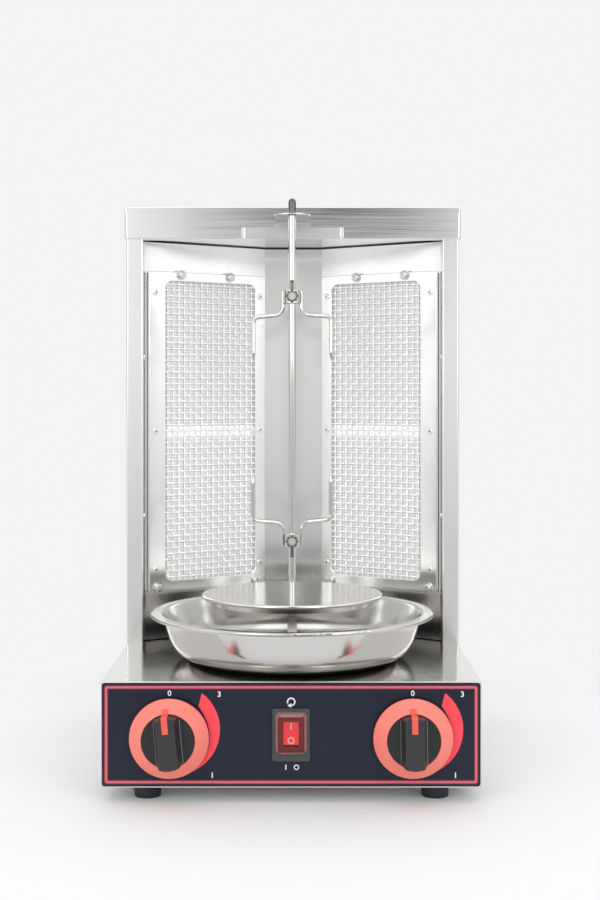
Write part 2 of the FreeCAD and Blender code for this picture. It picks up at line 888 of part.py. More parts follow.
def rounded_edge(width, draft, root, bar_top):
    """Half outline of a raised bar: draft, rounded edge and flat top, from the root to the middle."""
    turn = bar_edge_radius
    inset = turn * (1 - math.sqrt(0.5))
    low = Vector(width, -root, 0)
    high = Vector(width - draft, -(bar_top - turn), 0)
    middle = Vector(width - draft - inset, -(bar_top - inset), 0)
    flat = Vector(width - draft - turn, -bar_top, 0)
    return low, high, middle, flat


def drafted_bar(root, bar_top):
    """The straight bar of the grip, longer than the dial, with rounded long edges."""
    low, high, middle, flat = rounded_edge(bar_width / 2 + bar_draft, bar_draft, root, bar_top)
    flip = lambda point: Vector(-point.x, point.y, point.z)
    outline = Part.Wire([Part.makeLine(low, high), Part.Arc(high, middle, flat).toShape(),
                         Part.makeLine(flat, flip(flat)),
                         Part.Arc(flip(flat), flip(middle), flip(high)).toShape(),
                         Part.makeLine(flip(high), flip(low)), Part.makeLine(flip(low), low)])
    bar = Part.Face(outline).extrude(Vector(0, 0, 2 * dial_radius))
    bar.translate(Vector(0, 0, -dial_radius))
    return bar


def rounded_drum(root, bar_top, end_radius):
    """A drum about the knob axis with a rounded front edge, which shapes the ends of the bar."""
    low, high, middle, flat = rounded_edge(end_radius, bar_end_draft, root, bar_top)
    base, cap = Vector(0, -root, 0), Vector(0, -bar_top, 0)
    outline = Part.Wire([Part.makeLine(base, low), Part.makeLine(low, high),
                         Part.Arc(high, middle, flat).toShape(),
                         Part.makeLine(flat, cap), Part.makeLine(cap, base)])
    return Part.Face(outline).revolve(Vector(0, 0, 0), Vector(0, 1, 0), 360)


def knob_pieces():
    """Skirt, grip and pointer about the y axis; y is negative towards the user."""
    out = Vector(0, -1, 0)
    skirt_top = knob_gap + skirt_depth
    dial_low = skirt_top - dial_thickness
    bar_top = skirt_top + bar_height
    lip_low = skirt_top - skirt_fold + dial_gap
    skirt_outline = [(skirt_radius - skirt_wall, knob_gap), (skirt_radius, knob_gap),
                     (skirt_radius, knob_gap + skirt_rim),
                     (skirt_radius - skirt_bevel, knob_gap + skirt_rim + skirt_bevel),
                     (dial_radius + skirt_lip, lip_low), (dial_radius + skirt_fold, skirt_top),
                     (dial_radius + dial_gap, skirt_top - dial_gap),
                     (dial_radius + dial_gap, dial_low), (dial_radius - skirt_wall, dial_low),
                     (dial_radius - skirt_wall, dial_low - skirt_wall),
                     (dial_radius, dial_low - skirt_wall),
                     (skirt_radius - skirt_wall, knob_gap + skirt_rim)]
    skirt = turned(skirt_outline, Vector(0, 0, 0), out)
    dial = placed(Part.makeCylinder(dial_radius, dial_thickness), Vector(0, -dial_low, 0), out)
    hub = placed(Part.makeCylinder(hub_radius, skirt_depth - dial_thickness / 2),
                 Vector(0, -knob_gap, 0), out)
    root = skirt_top - bar_root
    end_radius = dial_radius - bar_end_inset
    bar = drafted_bar(root, bar_top).common(rounded_drum(root, bar_top, end_radius))
    grip = joined([dial, hub, bar])
    stem = placed(Part.makeCylinder(stem_radius + stem_slip, stem_grip), Vector(0, -knob_gap, 0), out)
    flat = Part.makeBox(2 * stem_radius + 1, stem_grip, stem_flat + 1,
                        Vector(-stem_radius - 0.5, -knob_gap - stem_grip,
                               stem_radius - stem_flat + stem_slip))
    grip = grip.cut(stem.cut(flat))
    half = pointer_width / 2
    ridge_top = bar_top + pointer_proud
    ridge_end = dial_radius + pointer_proud
    inner_end = dial_radius - pointer_root
    ridge = [(pointer_inner, bar_top - pointer_sink), (pointer_inner, ridge_top),
             (dial_radius - pointer_shoulder, ridge_top), (ridge_end, bar_top - pointer_bevel),
             (ridge_end, skirt_top + pointer_sink), (pointer_outer, skirt_top - pointer_drop),
             (pointer_outer, skirt_top - pointer_foot), (inner_end, skirt_top - pointer_bevel),
             (inner_end, bar_top - pointer_sink)]
    wire = Part.makePolygon([Vector(-half, -y, z) for z, y in ridge + ridge[:1]])
    pointer = Part.Face(wire).extrude(Vector(pointer_width, 0, 0))
    pointer = pointer.cut(skirt)
    pointer = max(pointer.Solids, key=lambda solid: solid.Volume)
    grip = grip.cut(pointer)
    return skirt, grip, pointer


def set_knob(shape, x, lean):
    copy = shape.copy()
    copy.rotate(Vector(0, 0, 0), Vector(0, 1, 0), -lean)
    copy.translate(Vector(x, back(0), knob_z))
    return copy


for side, x, lean in (("left", -knob_x, left_knob_lean), ("right", knob_x, right_knob_lean)):
    skirt, grip, pointer = knob_pieces()
    nodes["knob_skirt_" + side] = set_knob(skirt, x, lean)
    nodes["knob_grip_" + side] = set_knob(grip, x, lean)
    nodes["knob_pointer_" + side] = set_knob(pointer, x, lean)
    nodes["valve_stem_" + side].rotate(Vector(x, 0, knob_z), Vector(0, 1, 0), -lean)

# Rocker switch with its clear boot


def make_switch_body():
    front = -overlay_thickness - bezel_thickness
    place = lambda x, z: Vector(x, back(front), z)
    face = Part.Face(rounded_rectangle(-bezel_width / 2, bezel_width / 2,
                                       switch_z - bezel_height / 2, switch_z + bezel_height / 2,
                                       bezel_corner, place))
    bezel = face.extrude(Vector(0, bezel_thickness, 0))
    housing = block(-housing_width / 2, housing_width / 2, -overlay_thickness - 0.5, housing_depth,
                    switch_z - housing_height / 2, switch_z + housing_height / 2)
    blades = [block(place_x - terminal_width / 2, place_x + terminal_width / 2, housing_depth - 1,
                    housing_depth + terminal_length, switch_z - terminal_thickness / 2,
                    switch_z + terminal_thickness / 2)
              for place_x in (-terminal_spacing / 2, terminal_spacing / 2)]
    body = joined([bezel, housing] + blades)
    half = rocker_width / 2 + seat_gap
    room = rocker_reach + seat_gap + 0.1
    well = block(-half, half, front - 1, rocker_pivot_depth, rocker_z - room, rocker_z + room)
    bowl = Part.makeCylinder(room, 2 * half, Vector(-half, back(rocker_pivot_depth), rocker_z),
                             Vector(1, 0, 0))
    reach = half + pivot_length
    pins = Part.makeCylinder(pivot_radius + running_gap, 2 * reach,
                             Vector(-reach, back(rocker_pivot_depth), rocker_z), Vector(1, 0, 0))
    return body.cut([well, bowl, pins])


def make_rocker():
    """A round-backed rocker; its upper half is pressed in and its lower half stands out."""
    pivot = Vector(0, back(rocker_pivot_depth), rocker_z)
    disc = Part.makeCylinder(rocker_reach, rocker_width, Vector(-rocker_width / 2, 0, 0),
                             Vector(1, 0, 0))
    rise = rocker_reach * math.tan(math.radians(rocker_throw / 2))
    deep = 2 * rocker_reach
    outline = [(-rocker_face, 0), (-rocker_face - rise, rocker_reach), (-rocker_face - rise, deep),
               (rocker_back, deep), (rocker_back, -deep), (-rocker_face - rise, -deep),
               (-rocker_face - rise, -rocker_reach)]
    wire = Part.makePolygon([Vector(-rocker_width / 2, y, z) for y, z in outline + outline[:1]])
    wedge = Part.Face(wire).extrude(Vector(rocker_width, 0, 0))
    ends = Part.makeBox(rocker_width, 4 * rocker_reach, 2 * rocker_reach,
                        Vector(-rocker_width / 2, -3 * rocker_reach, -rocker_reach))
    body = wedge.common(ends).common(disc.fuse(front_guard(rise)))
    reach = rocker_width / 2 + seat_gap + pivot_length - 0.2
    pin = Part.makeCylinder(pivot_radius, 2 * reach, Vector(-reach, 0, 0), Vector(1, 0, 0))
    body = joined([body, pin])
    body.rotate(Vector(0, 0, 0), Vector(1, 0, 0), -rocker_throw / 2)
    body.translate(pivot)
    return body


def front_guard(rise):
    """The straight-sided front of the rocker, which stays inside its round reach when tilted."""
    tilt = math.radians(rocker_throw / 2)
    margin = (rocker_reach - (rocker_face + rise) * math.sin(tilt)) / math.cos(tilt)
    return Part.makeBox(rocker_width, rocker_face + rise + 1, 2 * margin,
                        Vector(-rocker_width / 2, -rocker_face - rise - 1, -margin))


def boot_shape(wall):
    """The tapered cover with bevelled front edges, made smaller all round by a wall."""
    rear = -overlay_thickness - bezel_thickness
    front = rear - boot_depth + wall
    sections = []
    for depth, inset in ((rear, wall), (front + boot_bevel, wall + boot_draft),
                         (front, wall + boot_draft + boot_bevel)):
        half_x, half_z = boot_width / 2 - inset, boot_height / 2 - inset
        place = lambda x, z: Vector(x, back(depth), z)
        sections.append(rounded_rectangle(-half_x, half_x, boot_z - half_z, boot_z + half_z,
                                          boot_corner - wall, place))
    return Part.makeLoft(sections, True, True)


def make_boot():
    """Clear soft cover over the rocker, seated on the bezel."""
    return boot_shape(0).cut(boot_shape(boot_wall))


nodes["switch_body"] = make_switch_body()
nodes["switch_rocker"] = make_rocker()
nodes["switch_boot"] = make_boot()

# Motor, its bracket and the drive socket


def make_motor():
    body = upright(0, spit_depth, motor_radius, motor_top - motor_height, motor_top)
    body = body.makeFillet(motor_edge, edges_where(body, lambda b: (
        b.ZMax < motor_top - motor_height + 0.1)))
    boss = upright(0, spit_depth, motor_boss_radius, motor_top - 1, motor_top + motor_boss_height)
    reach = motor_radius + motor_ear_reach
    ears = block(-reach, reach, spit_depth - motor_ear_width / 2, spit_depth + motor_ear_width / 2,
                 motor_top - motor_ear_thickness, motor_top)
    bore = upright(0, spit_depth, drive_shaft_radius + running_gap, motor_top - drive_shaft_sink - 1,
                   motor_top + motor_boss_height + 1)
    holes = [upright(side * (reach - motor_screw_inset), spit_depth, screw_hole, motor_top - 5, motor_top + 1)
             for side in (-1, 1)]
    return joined([body, boss, ears]).cut([bore] + holes)


def make_motor_bracket():
    """A bridge under the deck: feet welded to the deck, plate on top of the motor."""
    plate_top = motor_top + bracket_sheet
    line_z = motor_top + bracket_sheet / 2
    top_z = inner_z - bracket_sheet / 2
    points = [(-bracket_leg_x - bracket_foot, top_z), (-bracket_leg_x, top_z),
              (-bracket_leg_x, line_z), (bracket_leg_x, line_z), (bracket_leg_x, top_z),
              (bracket_leg_x + bracket_foot, top_z)]
    start = back(spit_depth - bracket_half_depth)
    face = strip_face(points, [bracket_bend] * 4, bracket_sheet,
                      lambda x, z: Vector(x, start, z), Vector(0, 1, 0))
    bridge = face.extrude(Vector(0, 2 * bracket_half_depth, 0))
    cuts = [upright(0, spit_depth, motor_boss_radius + seat_gap, motor_top - 1, plate_top + 1)]
    reach = motor_radius + motor_ear_reach
    cuts += [upright(side * (reach - motor_screw_inset), spit_depth, screw_hole, motor_top - 1, plate_top + 1)
             for side in (-1, 1)]
    return bridge.cut(cuts)


def make_drive_socket():
    """Output shaft and socket in one piece, with a slot that takes the tang of the spit."""
    body = upright(0, spit_depth, socket_radius, socket_bottom, socket_top)
    rim = edges_where(body, lambda b: b.ZMin > socket_top - 0.1)
    body = body.makeChamfer(socket_chamfer, rim)
    shaft = upright(0, spit_depth, drive_shaft_radius, motor_top - drive_shaft_sink,
                    socket_bottom + 1)
    bore = upright(0, spit_depth, spit_bore, socket_seat + tang_height, socket_top + 1)
    slot_half = tang_width / 2 + running_gap
    slot = upright(0, spit_depth, spit_bore, socket_seat, socket_seat + tang_height + 1).common(
        block(-spit_bore, spit_bore, spit_depth - slot_half, spit_depth + slot_half,
              socket_seat, socket_seat + tang_height + 1))
    return joined([body, shaft]).cut([bore, slot])


def make_bush():
    """Flanged bush pressed up through the deck, flush with its top."""
    flange_top = inner_z
    outline = [(bearing_bore, deck_height), (bush_radius, deck_height), (bush_radius, flange_top),
               (bush_flange_radius, flange_top),
               (bush_flange_radius, flange_top - bush_flange_thickness),
               (bush_radius, flange_top - bush_flange_thickness),
               (bush_radius, flange_top - bush_length), (bearing_bore, flange_top - bush_length)]
    return turned(outline, Vector(0, axis_y, 0), Vector(0, 0, 1))


nodes["gear_motor"] = make_motor()
nodes["motor_bracket"] = make_motor_bracket()
nodes["drive_socket"] = make_drive_socket()
nodes["deck_bush"] = make_bush()

# Spit, meat disc and skewer forks


def make_spit_rod():
    bottom = socket_seat + seat_gap
    rod = upright(0, spit_depth, spit_radius, bottom, spit_top)
    rod = rod.makeFillet(spit_radius * 0.96, edges_where(rod, lambda b: b.ZMin > spit_top - 0.1))
    tang_top = bottom + tang_height
    keep = block(-spit_radius, spit_radius, spit_depth - tang_width / 2, spit_depth + tang_width / 2,
                 bottom - 1, tang_top)
    lower = upright(0, spit_depth, spit_radius + 1, bottom - 1, tang_top).cut(keep)
    return rod.cut(lower)


def make_meat_disc():
    """A flat disc with its edge folded down and in, on a hub that stands on the drive socket."""
    line_z = disc_top - disc_sheet / 2
    fold = math.pi / 2 + math.atan2(disc_taper, disc_edge - disc_sheet / 2)
    line_r = disc_radius - disc_sheet / 2 + disc_bend * (math.tan(fold / 2) - 1)
    hub_line = (spit_radius + disc_hub_radius) / 2
    plate = spun_sheet([(hub_line, line_z), (line_r, line_z),
                        (line_r - disc_taper, disc_top - disc_edge)],
                       [disc_bend], disc_sheet, 0, spit_depth)
    hub = upright(0, spit_depth, disc_hub_radius, socket_top + seat_gap, disc_top)
    bore = upright(0, spit_depth, spit_radius + press_slip, socket_top - 1, disc_top + 1)
    return joined([plate, hub]).cut(bore)


def make_fork(hub_z, direction, prong_length, turn):
    """Hub with two bent wire prongs; direction is -1 for prongs that point down."""
    hub = Part.makeCylinder(fork_hub_radius, fork_hub_height, Vector(0, 0, -fork_hub_height / 2))
    hub = hub.makeChamfer(fork_hub_chamfer, edges_where(hub, lambda b: b.ZLength < 0.1))
    run = fork_hub_radius + fork_wire_radius - fork_wire_sink
    shaft_end = prong_length - prong_point
    pieces = [hub]
    for side in (-1, 1):
        points = [Vector(side * run, 0, -direction * fork_wire_start),
                  Vector(side * run, 0, direction * fork_arm_drop),
                  Vector(side * fork_reach, 0, direction * (fork_arm_drop + fork_arm_slope)),
                  Vector(side * fork_reach, 0, direction * shaft_end)]
        pieces.append(tube_along(points, [fork_inner_bend, fork_outer_bend], fork_wire_radius))
        pieces.append(Part.makeCone(fork_wire_radius, prong_tip_radius, prong_point, points[-1],
                                    Vector(0, 0, direction)))
    fork = joined(pieces)
    bore = Part.makeCylinder(spit_bore, fork_hub_height + 2, Vector(0, 0, -fork_hub_height / 2 - 1))
    fork = fork.cut(bore)
    fork.rotate(Vector(0, 0, 0), Vector(0, 0, 1), turn)
    screw_bore = Part.makeCylinder(thumb_radius + running_gap, fork_hub_radius + 1,
                                   Vector(0, 0, 0), Vector(0, -1, 0))
    fork = fork.cut(screw_bore)
    fork.translate(Vector(0, axis_y, hub_z))
    return fork


def make_thumb_screw(hub_z, direction):
    """Clamp screw through the front of the hub, with a grooved head and a small lever."""
    tip = spit_radius + seat_gap
    head = fork_hub_radius + thumb_head_gap
    end = head + thumb_head_length
    out = Vector(0, -1, 0)
    shank = Part.makeCylinder(thumb_radius, head - tip + 1, Vector(0, -tip, 0), out)
    knob = Part.makeCylinder(thumb_head_radius, thumb_head_length, Vector(0, -head, 0), out)
    knob = knob.makeChamfer(thumb_chamfer, edges_where(knob, lambda b: b.YLength < 0.1))
    grooves = [Part.makeCylinder(thumb_groove, thumb_head_length + 2,
                                 Vector(thumb_head_radius * math.cos(turn), -head + 1,
                                        thumb_head_radius * math.sin(turn)), out)
               for turn in ((number + 0.5) * 2 * math.pi / thumb_grooves
                            for number in range(thumb_grooves))]
    knob = knob.cut(grooves)
    lever = Part.makeCylinder(lever_radius, lever_length,
                              Vector(0, -(head + end) / 2, 0), Vector(0, 0, direction))
    ball = Part.makeSphere(lever_ball_radius, Vector(0, -(head + end) / 2, direction * lever_length))
    screw = joined([shank, knob, lever, ball])
    screw.translate(Vector(0, axis_y, hub_z))
    return screw


nodes["spit_rod"] = make_spit_rod()
nodes["meat_disc"] = make_meat_disc()
nodes["upper_fork"] = make_fork(upper_fork_z, -1, upper_prong_length, upper_fork_turn)
nodes["lower_fork"] = make_fork(lower_fork_z, 1, lower_prong_length, lower_fork_turn)
nodes["upper_thumb_screw"] = make_thumb_screw(upper_fork_z, 1)
nodes["lower_thumb_screw"] = make_thumb_screw(lower_fork_z, -1)

# Drip pan


def make_drip_pan():
    """A spun bowl with a flat rim and a collar round the drive socket."""
    low = pan_floor + pan_sheet / 2
    rim = pan_rim_z - pan_sheet / 2
    edge = pan_rim_radius - pan_sheet / 2
    collar = pan_collar_radius + pan_sheet / 2
    points = [(collar, pan_floor + pan_collar_height), (collar, low), (pan_corner_radius, low),
              (edge - pan_lip_width, rim), (edge, rim), (edge, rim - pan_edge_drop)]
    radii = [pan_collar_bend, pan_bend, pan_lip_bend, pan_edge_bend]
    return spun_sheet(points, radii, pan_sheet, 0, spit_depth)


nodes["drip_pan"] = make_drip_pan()

# Tower: posts, rear cover, hood, lid and ceiling


def side_panel():
    """Left post: inner return, front flange, side and rear flange, folded from one sheet."""
    inner = -post_inner - sheet / 2
    outer = -half_width + sheet / 2
    front = tower_depth + sheet / 2
    rear = rear_flange_depth - sheet / 2
    points = [(inner, wall_start_depth - return_end_gap), (inner, front), (outer, front),
              (outer, rear), (-half_width + sheet + rear_flange, rear)]
    panel = bent_sheet(points, [post_bend, post_bend, post_bend], sheet, deck_height, tower_height)
    cuts = [level(-rear_screw_x, rear - 2, rear + 2, z, screw_hole)
            for x, z in tower_rear_screws[:3]]
    for z in post_rivet_rows:
        cuts.append(Part.makeCylinder(rivet_radius + fastener_gap, 4 * sheet,
                                      Vector(-post_inner - 3 * sheet, back(post_rivet_depth), z),
                                      Vector(1, 0, 0)))
    return panel.cut(cuts)


def make_rear_cover():
    cover = block(-inside_half, inside_half, rear_cover_depth, rear_cover_depth + sheet,
                  deck_height + seat_gap, tower_height)
    cuts = [level(x, rear_cover_depth - 1, base_depth + 1, z, screw_hole)
            for x, z in tower_rear_screws]
    for row in range(rear_slot_rows):
        z = rear_slot_bottom + row * slot_pitch
        for side in (-1, 1):
            middle = side * rear_slot_x
            cuts.append(block(middle - slot_length / 2, middle + slot_length / 2,
                              rear_cover_depth - 1, base_depth + 1, z, z + slot_height))
    return cover.cut(cuts)


def make_hood():
    """A band round the front and sides of the tower, with a lip below and a flange above."""
    line = hood_half - hood_sheet / 2
    front = hood_front + hood_sheet / 2
    band = bent_sheet([(-line, base_depth), (-line, front), (line, front), (line, base_depth)],
                      [hood_bend, hood_bend], hood_sheet, hood_bottom, lid_bottom)
    back_of_front = hood_front + hood_sheet
    lip = block(-post_inner + seat_gap, post_inner - seat_gap, back_of_front - 0.1,
                back_of_front + hood_lip, hood_bottom, hood_bottom + hood_sheet)
    inside = hood_half - hood_sheet
    top_z = (lid_bottom - hood_sheet, lid_bottom)
    top = block(-inside - 0.1, inside + 0.1, back_of_front - 0.1, base_depth, *top_z).cut(
        block(-inside + hood_top_flange, inside - hood_top_flange,
              back_of_front + hood_top_flange, base_depth + 1, top_z[0] - 1, top_z[1] + 1))
    hood = joined([band, lip, top])
    fold = edges_where(hood, lambda b: (b.ZMax < hood_bottom + 0.1 and b.YMax < back(hood_front) + 0.1
                                        and b.XLength > base_width / 2))
    return hood.makeFillet(hood_sheet * 0.9, fold)


def make_lid():
    """Top cover: a flat plate with its rim folded down onto the hood."""
    outer = block(-hood_half, hood_half, hood_front, base_depth, lid_bottom, total_height)
    outer = outer.makeFillet(lid_bend, edges_where(outer, lambda b: (
        b.ZMin > total_height - 0.1 or b.ZLength > lid_height - 0.1)))
    inner = block(-hood_half + hood_sheet, hood_half - hood_sheet, hood_front + hood_sheet,
                  base_depth - hood_sheet, lid_bottom - 1, total_height - hood_sheet)
    return outer.cut(inner)


def make_ceiling():
    """Heat shield over the burners, resting on the lip of the hood."""
    low = hood_bottom + hood_sheet
    high = low + ceiling_sheet
    narrow = post_inner - seat_gap
    front = block(-narrow, narrow, tower_depth + seat_gap, wall_start_depth, low, high)
    rear = block(-inside_half, inside_half, wall_start_depth - return_end_gap + seat_gap,
                 rear_flange_depth - sheet - seat_gap, low, high)
    return joined([front, rear])


for side in ("left", "right"):
    nodes["side_panel_" + side] = on_side(side_panel(), side)
nodes["rear_cover"] = make_rear_cover()
nodes["hood"] = make_hood()
nodes["top_lid"] = make_lid()
nodes["ceiling_plate"] = make_ceiling()

# Burner walls and the narrow back panel between them


def along_wall(place, behind):
    """Width and depth of a point on the left wall, a distance behind its face."""
    return (-post_inner + place * cos_wall - behind * sin_wall,
            wall_start_depth + place * sin_wall + behind * cos_wall)


def burner_wall():
    half = wall_sheet / 2
    flange_x = -post_inner - sheet - wall_slit - half
    corner_place = (flange_x + post_inner + half * sin_wall) / cos_wall
    corner_depth = wall_start_depth + corner_place * sin_wall + half * cos_wall
    end_place = (wall_rise - wall_sheet * cos_wall - wall_slit) / sin_wall
    points = [(flange_x, wall_flange_start), (flange_x, corner_depth), along_wall(end_place, half)]
    wall = bent_sheet(points, [wall_bend], wall_sheet, deck_height + wall_foot_gap, wall_top)
    gap = wall_cutout_gap
    cuts = [on_wall(slab(box_start - gap, box_end + gap, -1, 2, box_bottom - gap, box_top + gap))]
    for place, z in bolt_places():
        cuts.append(on_wall(Part.makeCylinder(bolt_radius + fastener_gap, 6, Vector(place, -3, z),
                                              Vector(0, 1, 0))))
    for place, z in rivet_places():
        cuts.append(on_wall(Part.makeCylinder(rivet_radius + fastener_gap, 6, Vector(place, -3, z),
                                              Vector(0, 1, 0))))
    for z in post_rivet_rows:
        cuts.append(Part.makeCylinder(rivet_radius + fastener_gap, 6 * sheet,
                                      Vector(-post_inner - 4 * sheet, back(post_rivet_depth), z),
                                      Vector(1, 0, 0)))
    return wall.cut(cuts)


def make_back_panel():
    """Narrow panel between the walls, with flanges spot-welded behind them."""
    half = wall_sheet / 2
    behind = wall_sheet + 0.1 + half
    line_depth = wall_end_depth + half
    place = (line_depth - wall_start_depth - behind * cos_wall) / sin_wall
    corner_x = -post_inner + place * cos_wall - behind * sin_wall
    end_x, end_depth = along_wall(place - back_flange, behind)
    points = [(end_x, end_depth), (corner_x, line_depth), (-corner_x, line_depth),
              (-end_x, end_depth)]
    panel = bent_sheet(points, [wall_bend, wall_bend], wall_sheet, deck_height + wall_foot_gap, wall_top)
    cuts = []
    for hole_place, z in rivet_places():
        hole = on_wall(Part.makeCylinder(rivet_radius + fastener_gap, 4 * wall_sheet,
                                         Vector(hole_place, 0, z), Vector(0, 1, 0)))
        cuts += [hole, mirrored(hole)]
    return panel.cut(cuts)


def bolt_places():
    return ([(place, frame_top - top_bolt_inset) for place in top_bolt_places]
            + [(place, frame_bottom + bottom_bolt_inset) for place in bottom_bolt_places])


def rivet_places():
    columns = (frame_start + rivet_inset_outer, frame_end - rivet_inset_inner)
    return [(place, z) for place in columns for z in rivet_rows]


def opening_prism(start, depth, grow):
    """The rounded burner opening, grown all round, from a distance in front of the wall."""
    place = lambda u, z: Vector(u, start, z)
    face = Part.Face(rounded_rectangle(opening_start - grow, opening_end + grow,
                                       opening_bottom - grow, opening_top + grow,
                                       opening_corner + grow, place))
    return face.extrude(Vector(0, depth, 0))


def burner_frame():
    """Pressed cover frame: face, folded outer edges and a lip round the opening."""
    outer = slab(frame_start, frame_end, -frame_proud, -frame_lift, frame_bottom, frame_top)
    corners = edges_where(outer, lambda b: b.YLength > frame_proud - frame_lift - 0.1)
    outer = outer.makeFillet(frame_corner, corners)
    outer = outer.makeFillet(frame_edge, edges_where(outer, lambda b: b.YMax < -frame_proud + 0.05))
    hollow = slab(frame_start + frame_sheet, frame_end - frame_sheet, -frame_proud + frame_sheet, 1,
                  frame_bottom + frame_sheet, frame_top - frame_sheet)
    shell = outer.cut(hollow)
    lip = opening_prism(-frame_proud, frame_sheet + opening_lip, frame_sheet)
    shell = joined([shell, lip])
    shell = shell.cut(opening_prism(-frame_proud - 1, frame_proud + 1, 0))
    shell = shell.makeFillet(frame_edge, edges_where(shell, lambda b: (
        b.YMax < -frame_proud + 0.05 and b.XMin > opening_start - 0.1 and b.XMax < opening_end + 0.1
        and b.ZMin > opening_bottom - 0.1 and b.ZMax < opening_top + 0.1)))
    cuts = []
    for place, z in bolt_places():
        cuts.append(Part.makeCylinder(bolt_radius + fastener_gap, 8, Vector(place, -frame_proud - 1, z),
                                      Vector(0, 1, 0)))
    for place, z in rivet_places():
        cuts.append(Part.makeCylinder(rivet_radius + fastener_gap, 8, Vector(place, -frame_proud - 1, z),
                                      Vector(0, 1, 0)))
    return shell.cut(cuts)


def burner_box():
    """Mixing box behind the plaques, with its ledge, flange and mixer tube."""
    mouth_box = slab(box_start, box_end, -0.5, plaque_thickness + box_wall, box_bottom, box_top)
    rear_box = slab(box_start + box_ledge, box_end - box_ledge, 0, box_depth,
                    box_bottom + box_ledge, box_top - box_ledge)
    flange = slab(frame_start + box_flange_inset, frame_end - box_flange_inset, -frame_lift, 0,
                  frame_bottom + box_flange_inset, frame_top - box_flange_inset + 1.0)
    hollow = slab(box_start + box_wall, box_end - box_wall, -frame_lift - 1, plaque_thickness,
                  box_bottom + box_wall, box_top - box_wall)
    chamber = slab(box_start + box_wall + box_ledge, box_end - box_wall - box_ledge, 0,
                   box_depth - box_wall, box_bottom + box_wall + box_ledge,
                   box_top - box_wall - box_ledge)
    tube_top = box_bottom + box_ledge + box_wall / 2
    tube = Part.makeCylinder(mixer_radius, tube_top - mixer_mouth_z - mixer_mouth_height,
                             Vector(mixer_place, mixer_setback, mixer_mouth_z + mixer_mouth_height))
    mouth = Part.makeCone(mixer_mouth_radius, mixer_radius, mixer_mouth_height,
                          Vector(mixer_place, mixer_setback, mixer_mouth_z))
    bore = Part.makeCylinder(mixer_radius - mixer_wall, tube_top + 2 - mixer_mouth_z,
                             Vector(mixer_place, mixer_setback, mixer_mouth_z - 1))
    funnel = Part.makeCone(mixer_mouth_radius - mixer_wall, mixer_radius - mixer_wall,
                           mixer_mouth_height, Vector(mixer_place, mixer_setback, mixer_mouth_z))
    solid = joined([mouth_box, rear_box, flange, tube, mouth])
    cuts = [hollow, chamber, bore, funnel]
    for place, z in bolt_places():
        cuts.append(Part.makeCylinder(bolt_radius + fastener_gap, 8, Vector(place, -4, z), Vector(0, 1, 0)))
    for place, z in rivet_places():
        cuts.append(Part.makeCylinder(rivet_radius + fastener_gap, 8, Vector(place, -4, z), Vector(0, 1, 0)))
    return solid.cut(cuts)


def burner_mesh():
    """Wire screen as one holed plate, drawn at twice the pitch of the real weave."""
    margin = plaque_margin + mesh_margin
    start, end = opening_start - margin, opening_end + margin
    low, high = opening_bottom - margin, opening_top + margin
    front = -(frame_lift + mesh_slit + mesh_thickness)
    columns = int((opening_end - opening_start) / mesh_pitch)
    rows = int((opening_top - opening_bottom) / mesh_pitch)
    pitch_u = (opening_end - opening_start) / columns
    pitch_z = (opening_top - opening_bottom) / rows
    wires = [Part.makePolygon([Vector(u, front, z) for u, z in (
        (start, low), (end, low), (end, high), (start, high), (start, low))])]
    half = mesh_wire / 2
    for column in range(columns):
        for row in range(rows):
            u0 = opening_start + column * pitch_u + half
            z0 = opening_bottom + row * pitch_z + half
            u1, z1 = u0 + pitch_u - mesh_wire, z0 + pitch_z - mesh_wire
            wires.append(Part.makePolygon([Vector(u, front, z) for u, z in (
                (u0, z0), (u0, z1), (u1, z1), (u1, z0), (u0, z0))]))
    return Part.Face(wires).extrude(Vector(0, mesh_thickness, 0))


def plaque(low, high):
    return slab(plaque_start, plaque_end, 0, plaque_thickness - 0.1, low, high)


joint_low = joint_center - joint_height / 2
joint_high = joint_center + joint_height / 2

for side in ("left", "right"):
    nodes["burner_wall_" + side] = on_side(burner_wall(), side)
    nodes["burner_box_" + side] = on_side(on_wall(burner_box()), side)
    nodes["burner_frame_" + side] = on_side(on_wall(burner_frame()), side)
    nodes["burner_mesh_" + side] = on_side(on_wall(burner_mesh()), side)
nodes["back_panel"] = make_back_panel()
nodes["ceramic_plaques"] = [on_side(on_wall(plaque(low, high)), side)
                            for side in ("left", "right")
                            for low, high in ((plaque_bottom, joint_low - plaque_gap),
                                              (joint_high + plaque_gap, plaque_top))]
nodes["plaque_joints"] = [on_side(on_wall(slab(plaque_start, plaque_end, -joint_proud,
                                               plaque_thickness - 0.1, joint_low, joint_high)), side)
                          for side in ("left", "right")]

# Spit bracket: a tray-shaped plate on the hood with a tongue that guides the spit


def make_spit_bracket():
    t = bracket_thickness
    face_depth = hood_front - tray_standoff
    half = tray_width / 2
    tray = bent_sheet([(-half + t / 2, hood_front - press_slip), (-half + t / 2, face_depth + t / 2),
                       (half - t / 2, face_depth + t / 2), (half - t / 2, hood_front - press_slip)],
                      [tray_bend, tray_bend], t, hood_bottom, tray_top)
    points = [(face_depth + t / 2, tray_top - tray_overlap), (face_depth + t / 2, tongue_top - t / 2),
              (tongue_front_depth, tongue_top - t / 2)]
    face = strip_face(points, [tongue_bend], t,
                      lambda d, z: Vector(-tongue_width / 2, back(d), z), Vector(1, 0, 0))
    tongue = face.extrude(Vector(tongue_width, 0, 0))
    front_corners = edges_where(tongue, lambda b: (b.YMax < back(tongue_front_depth) + 0.1
                                                   and b.ZLength > t * 0.9 and b.XLength < 0.1))
    tongue = tongue.makeFillet(tongue_corner, front_corners)
    hole = upright(0, spit_depth, spit_radius + bracket_hole_gap, tongue_top - 2 * t, tongue_top + 1)
    return joined([tray, tongue]).cut(hole)


nodes["spit_bracket"] = make_spit_bracket()

# Cable gland and the leads inside the base


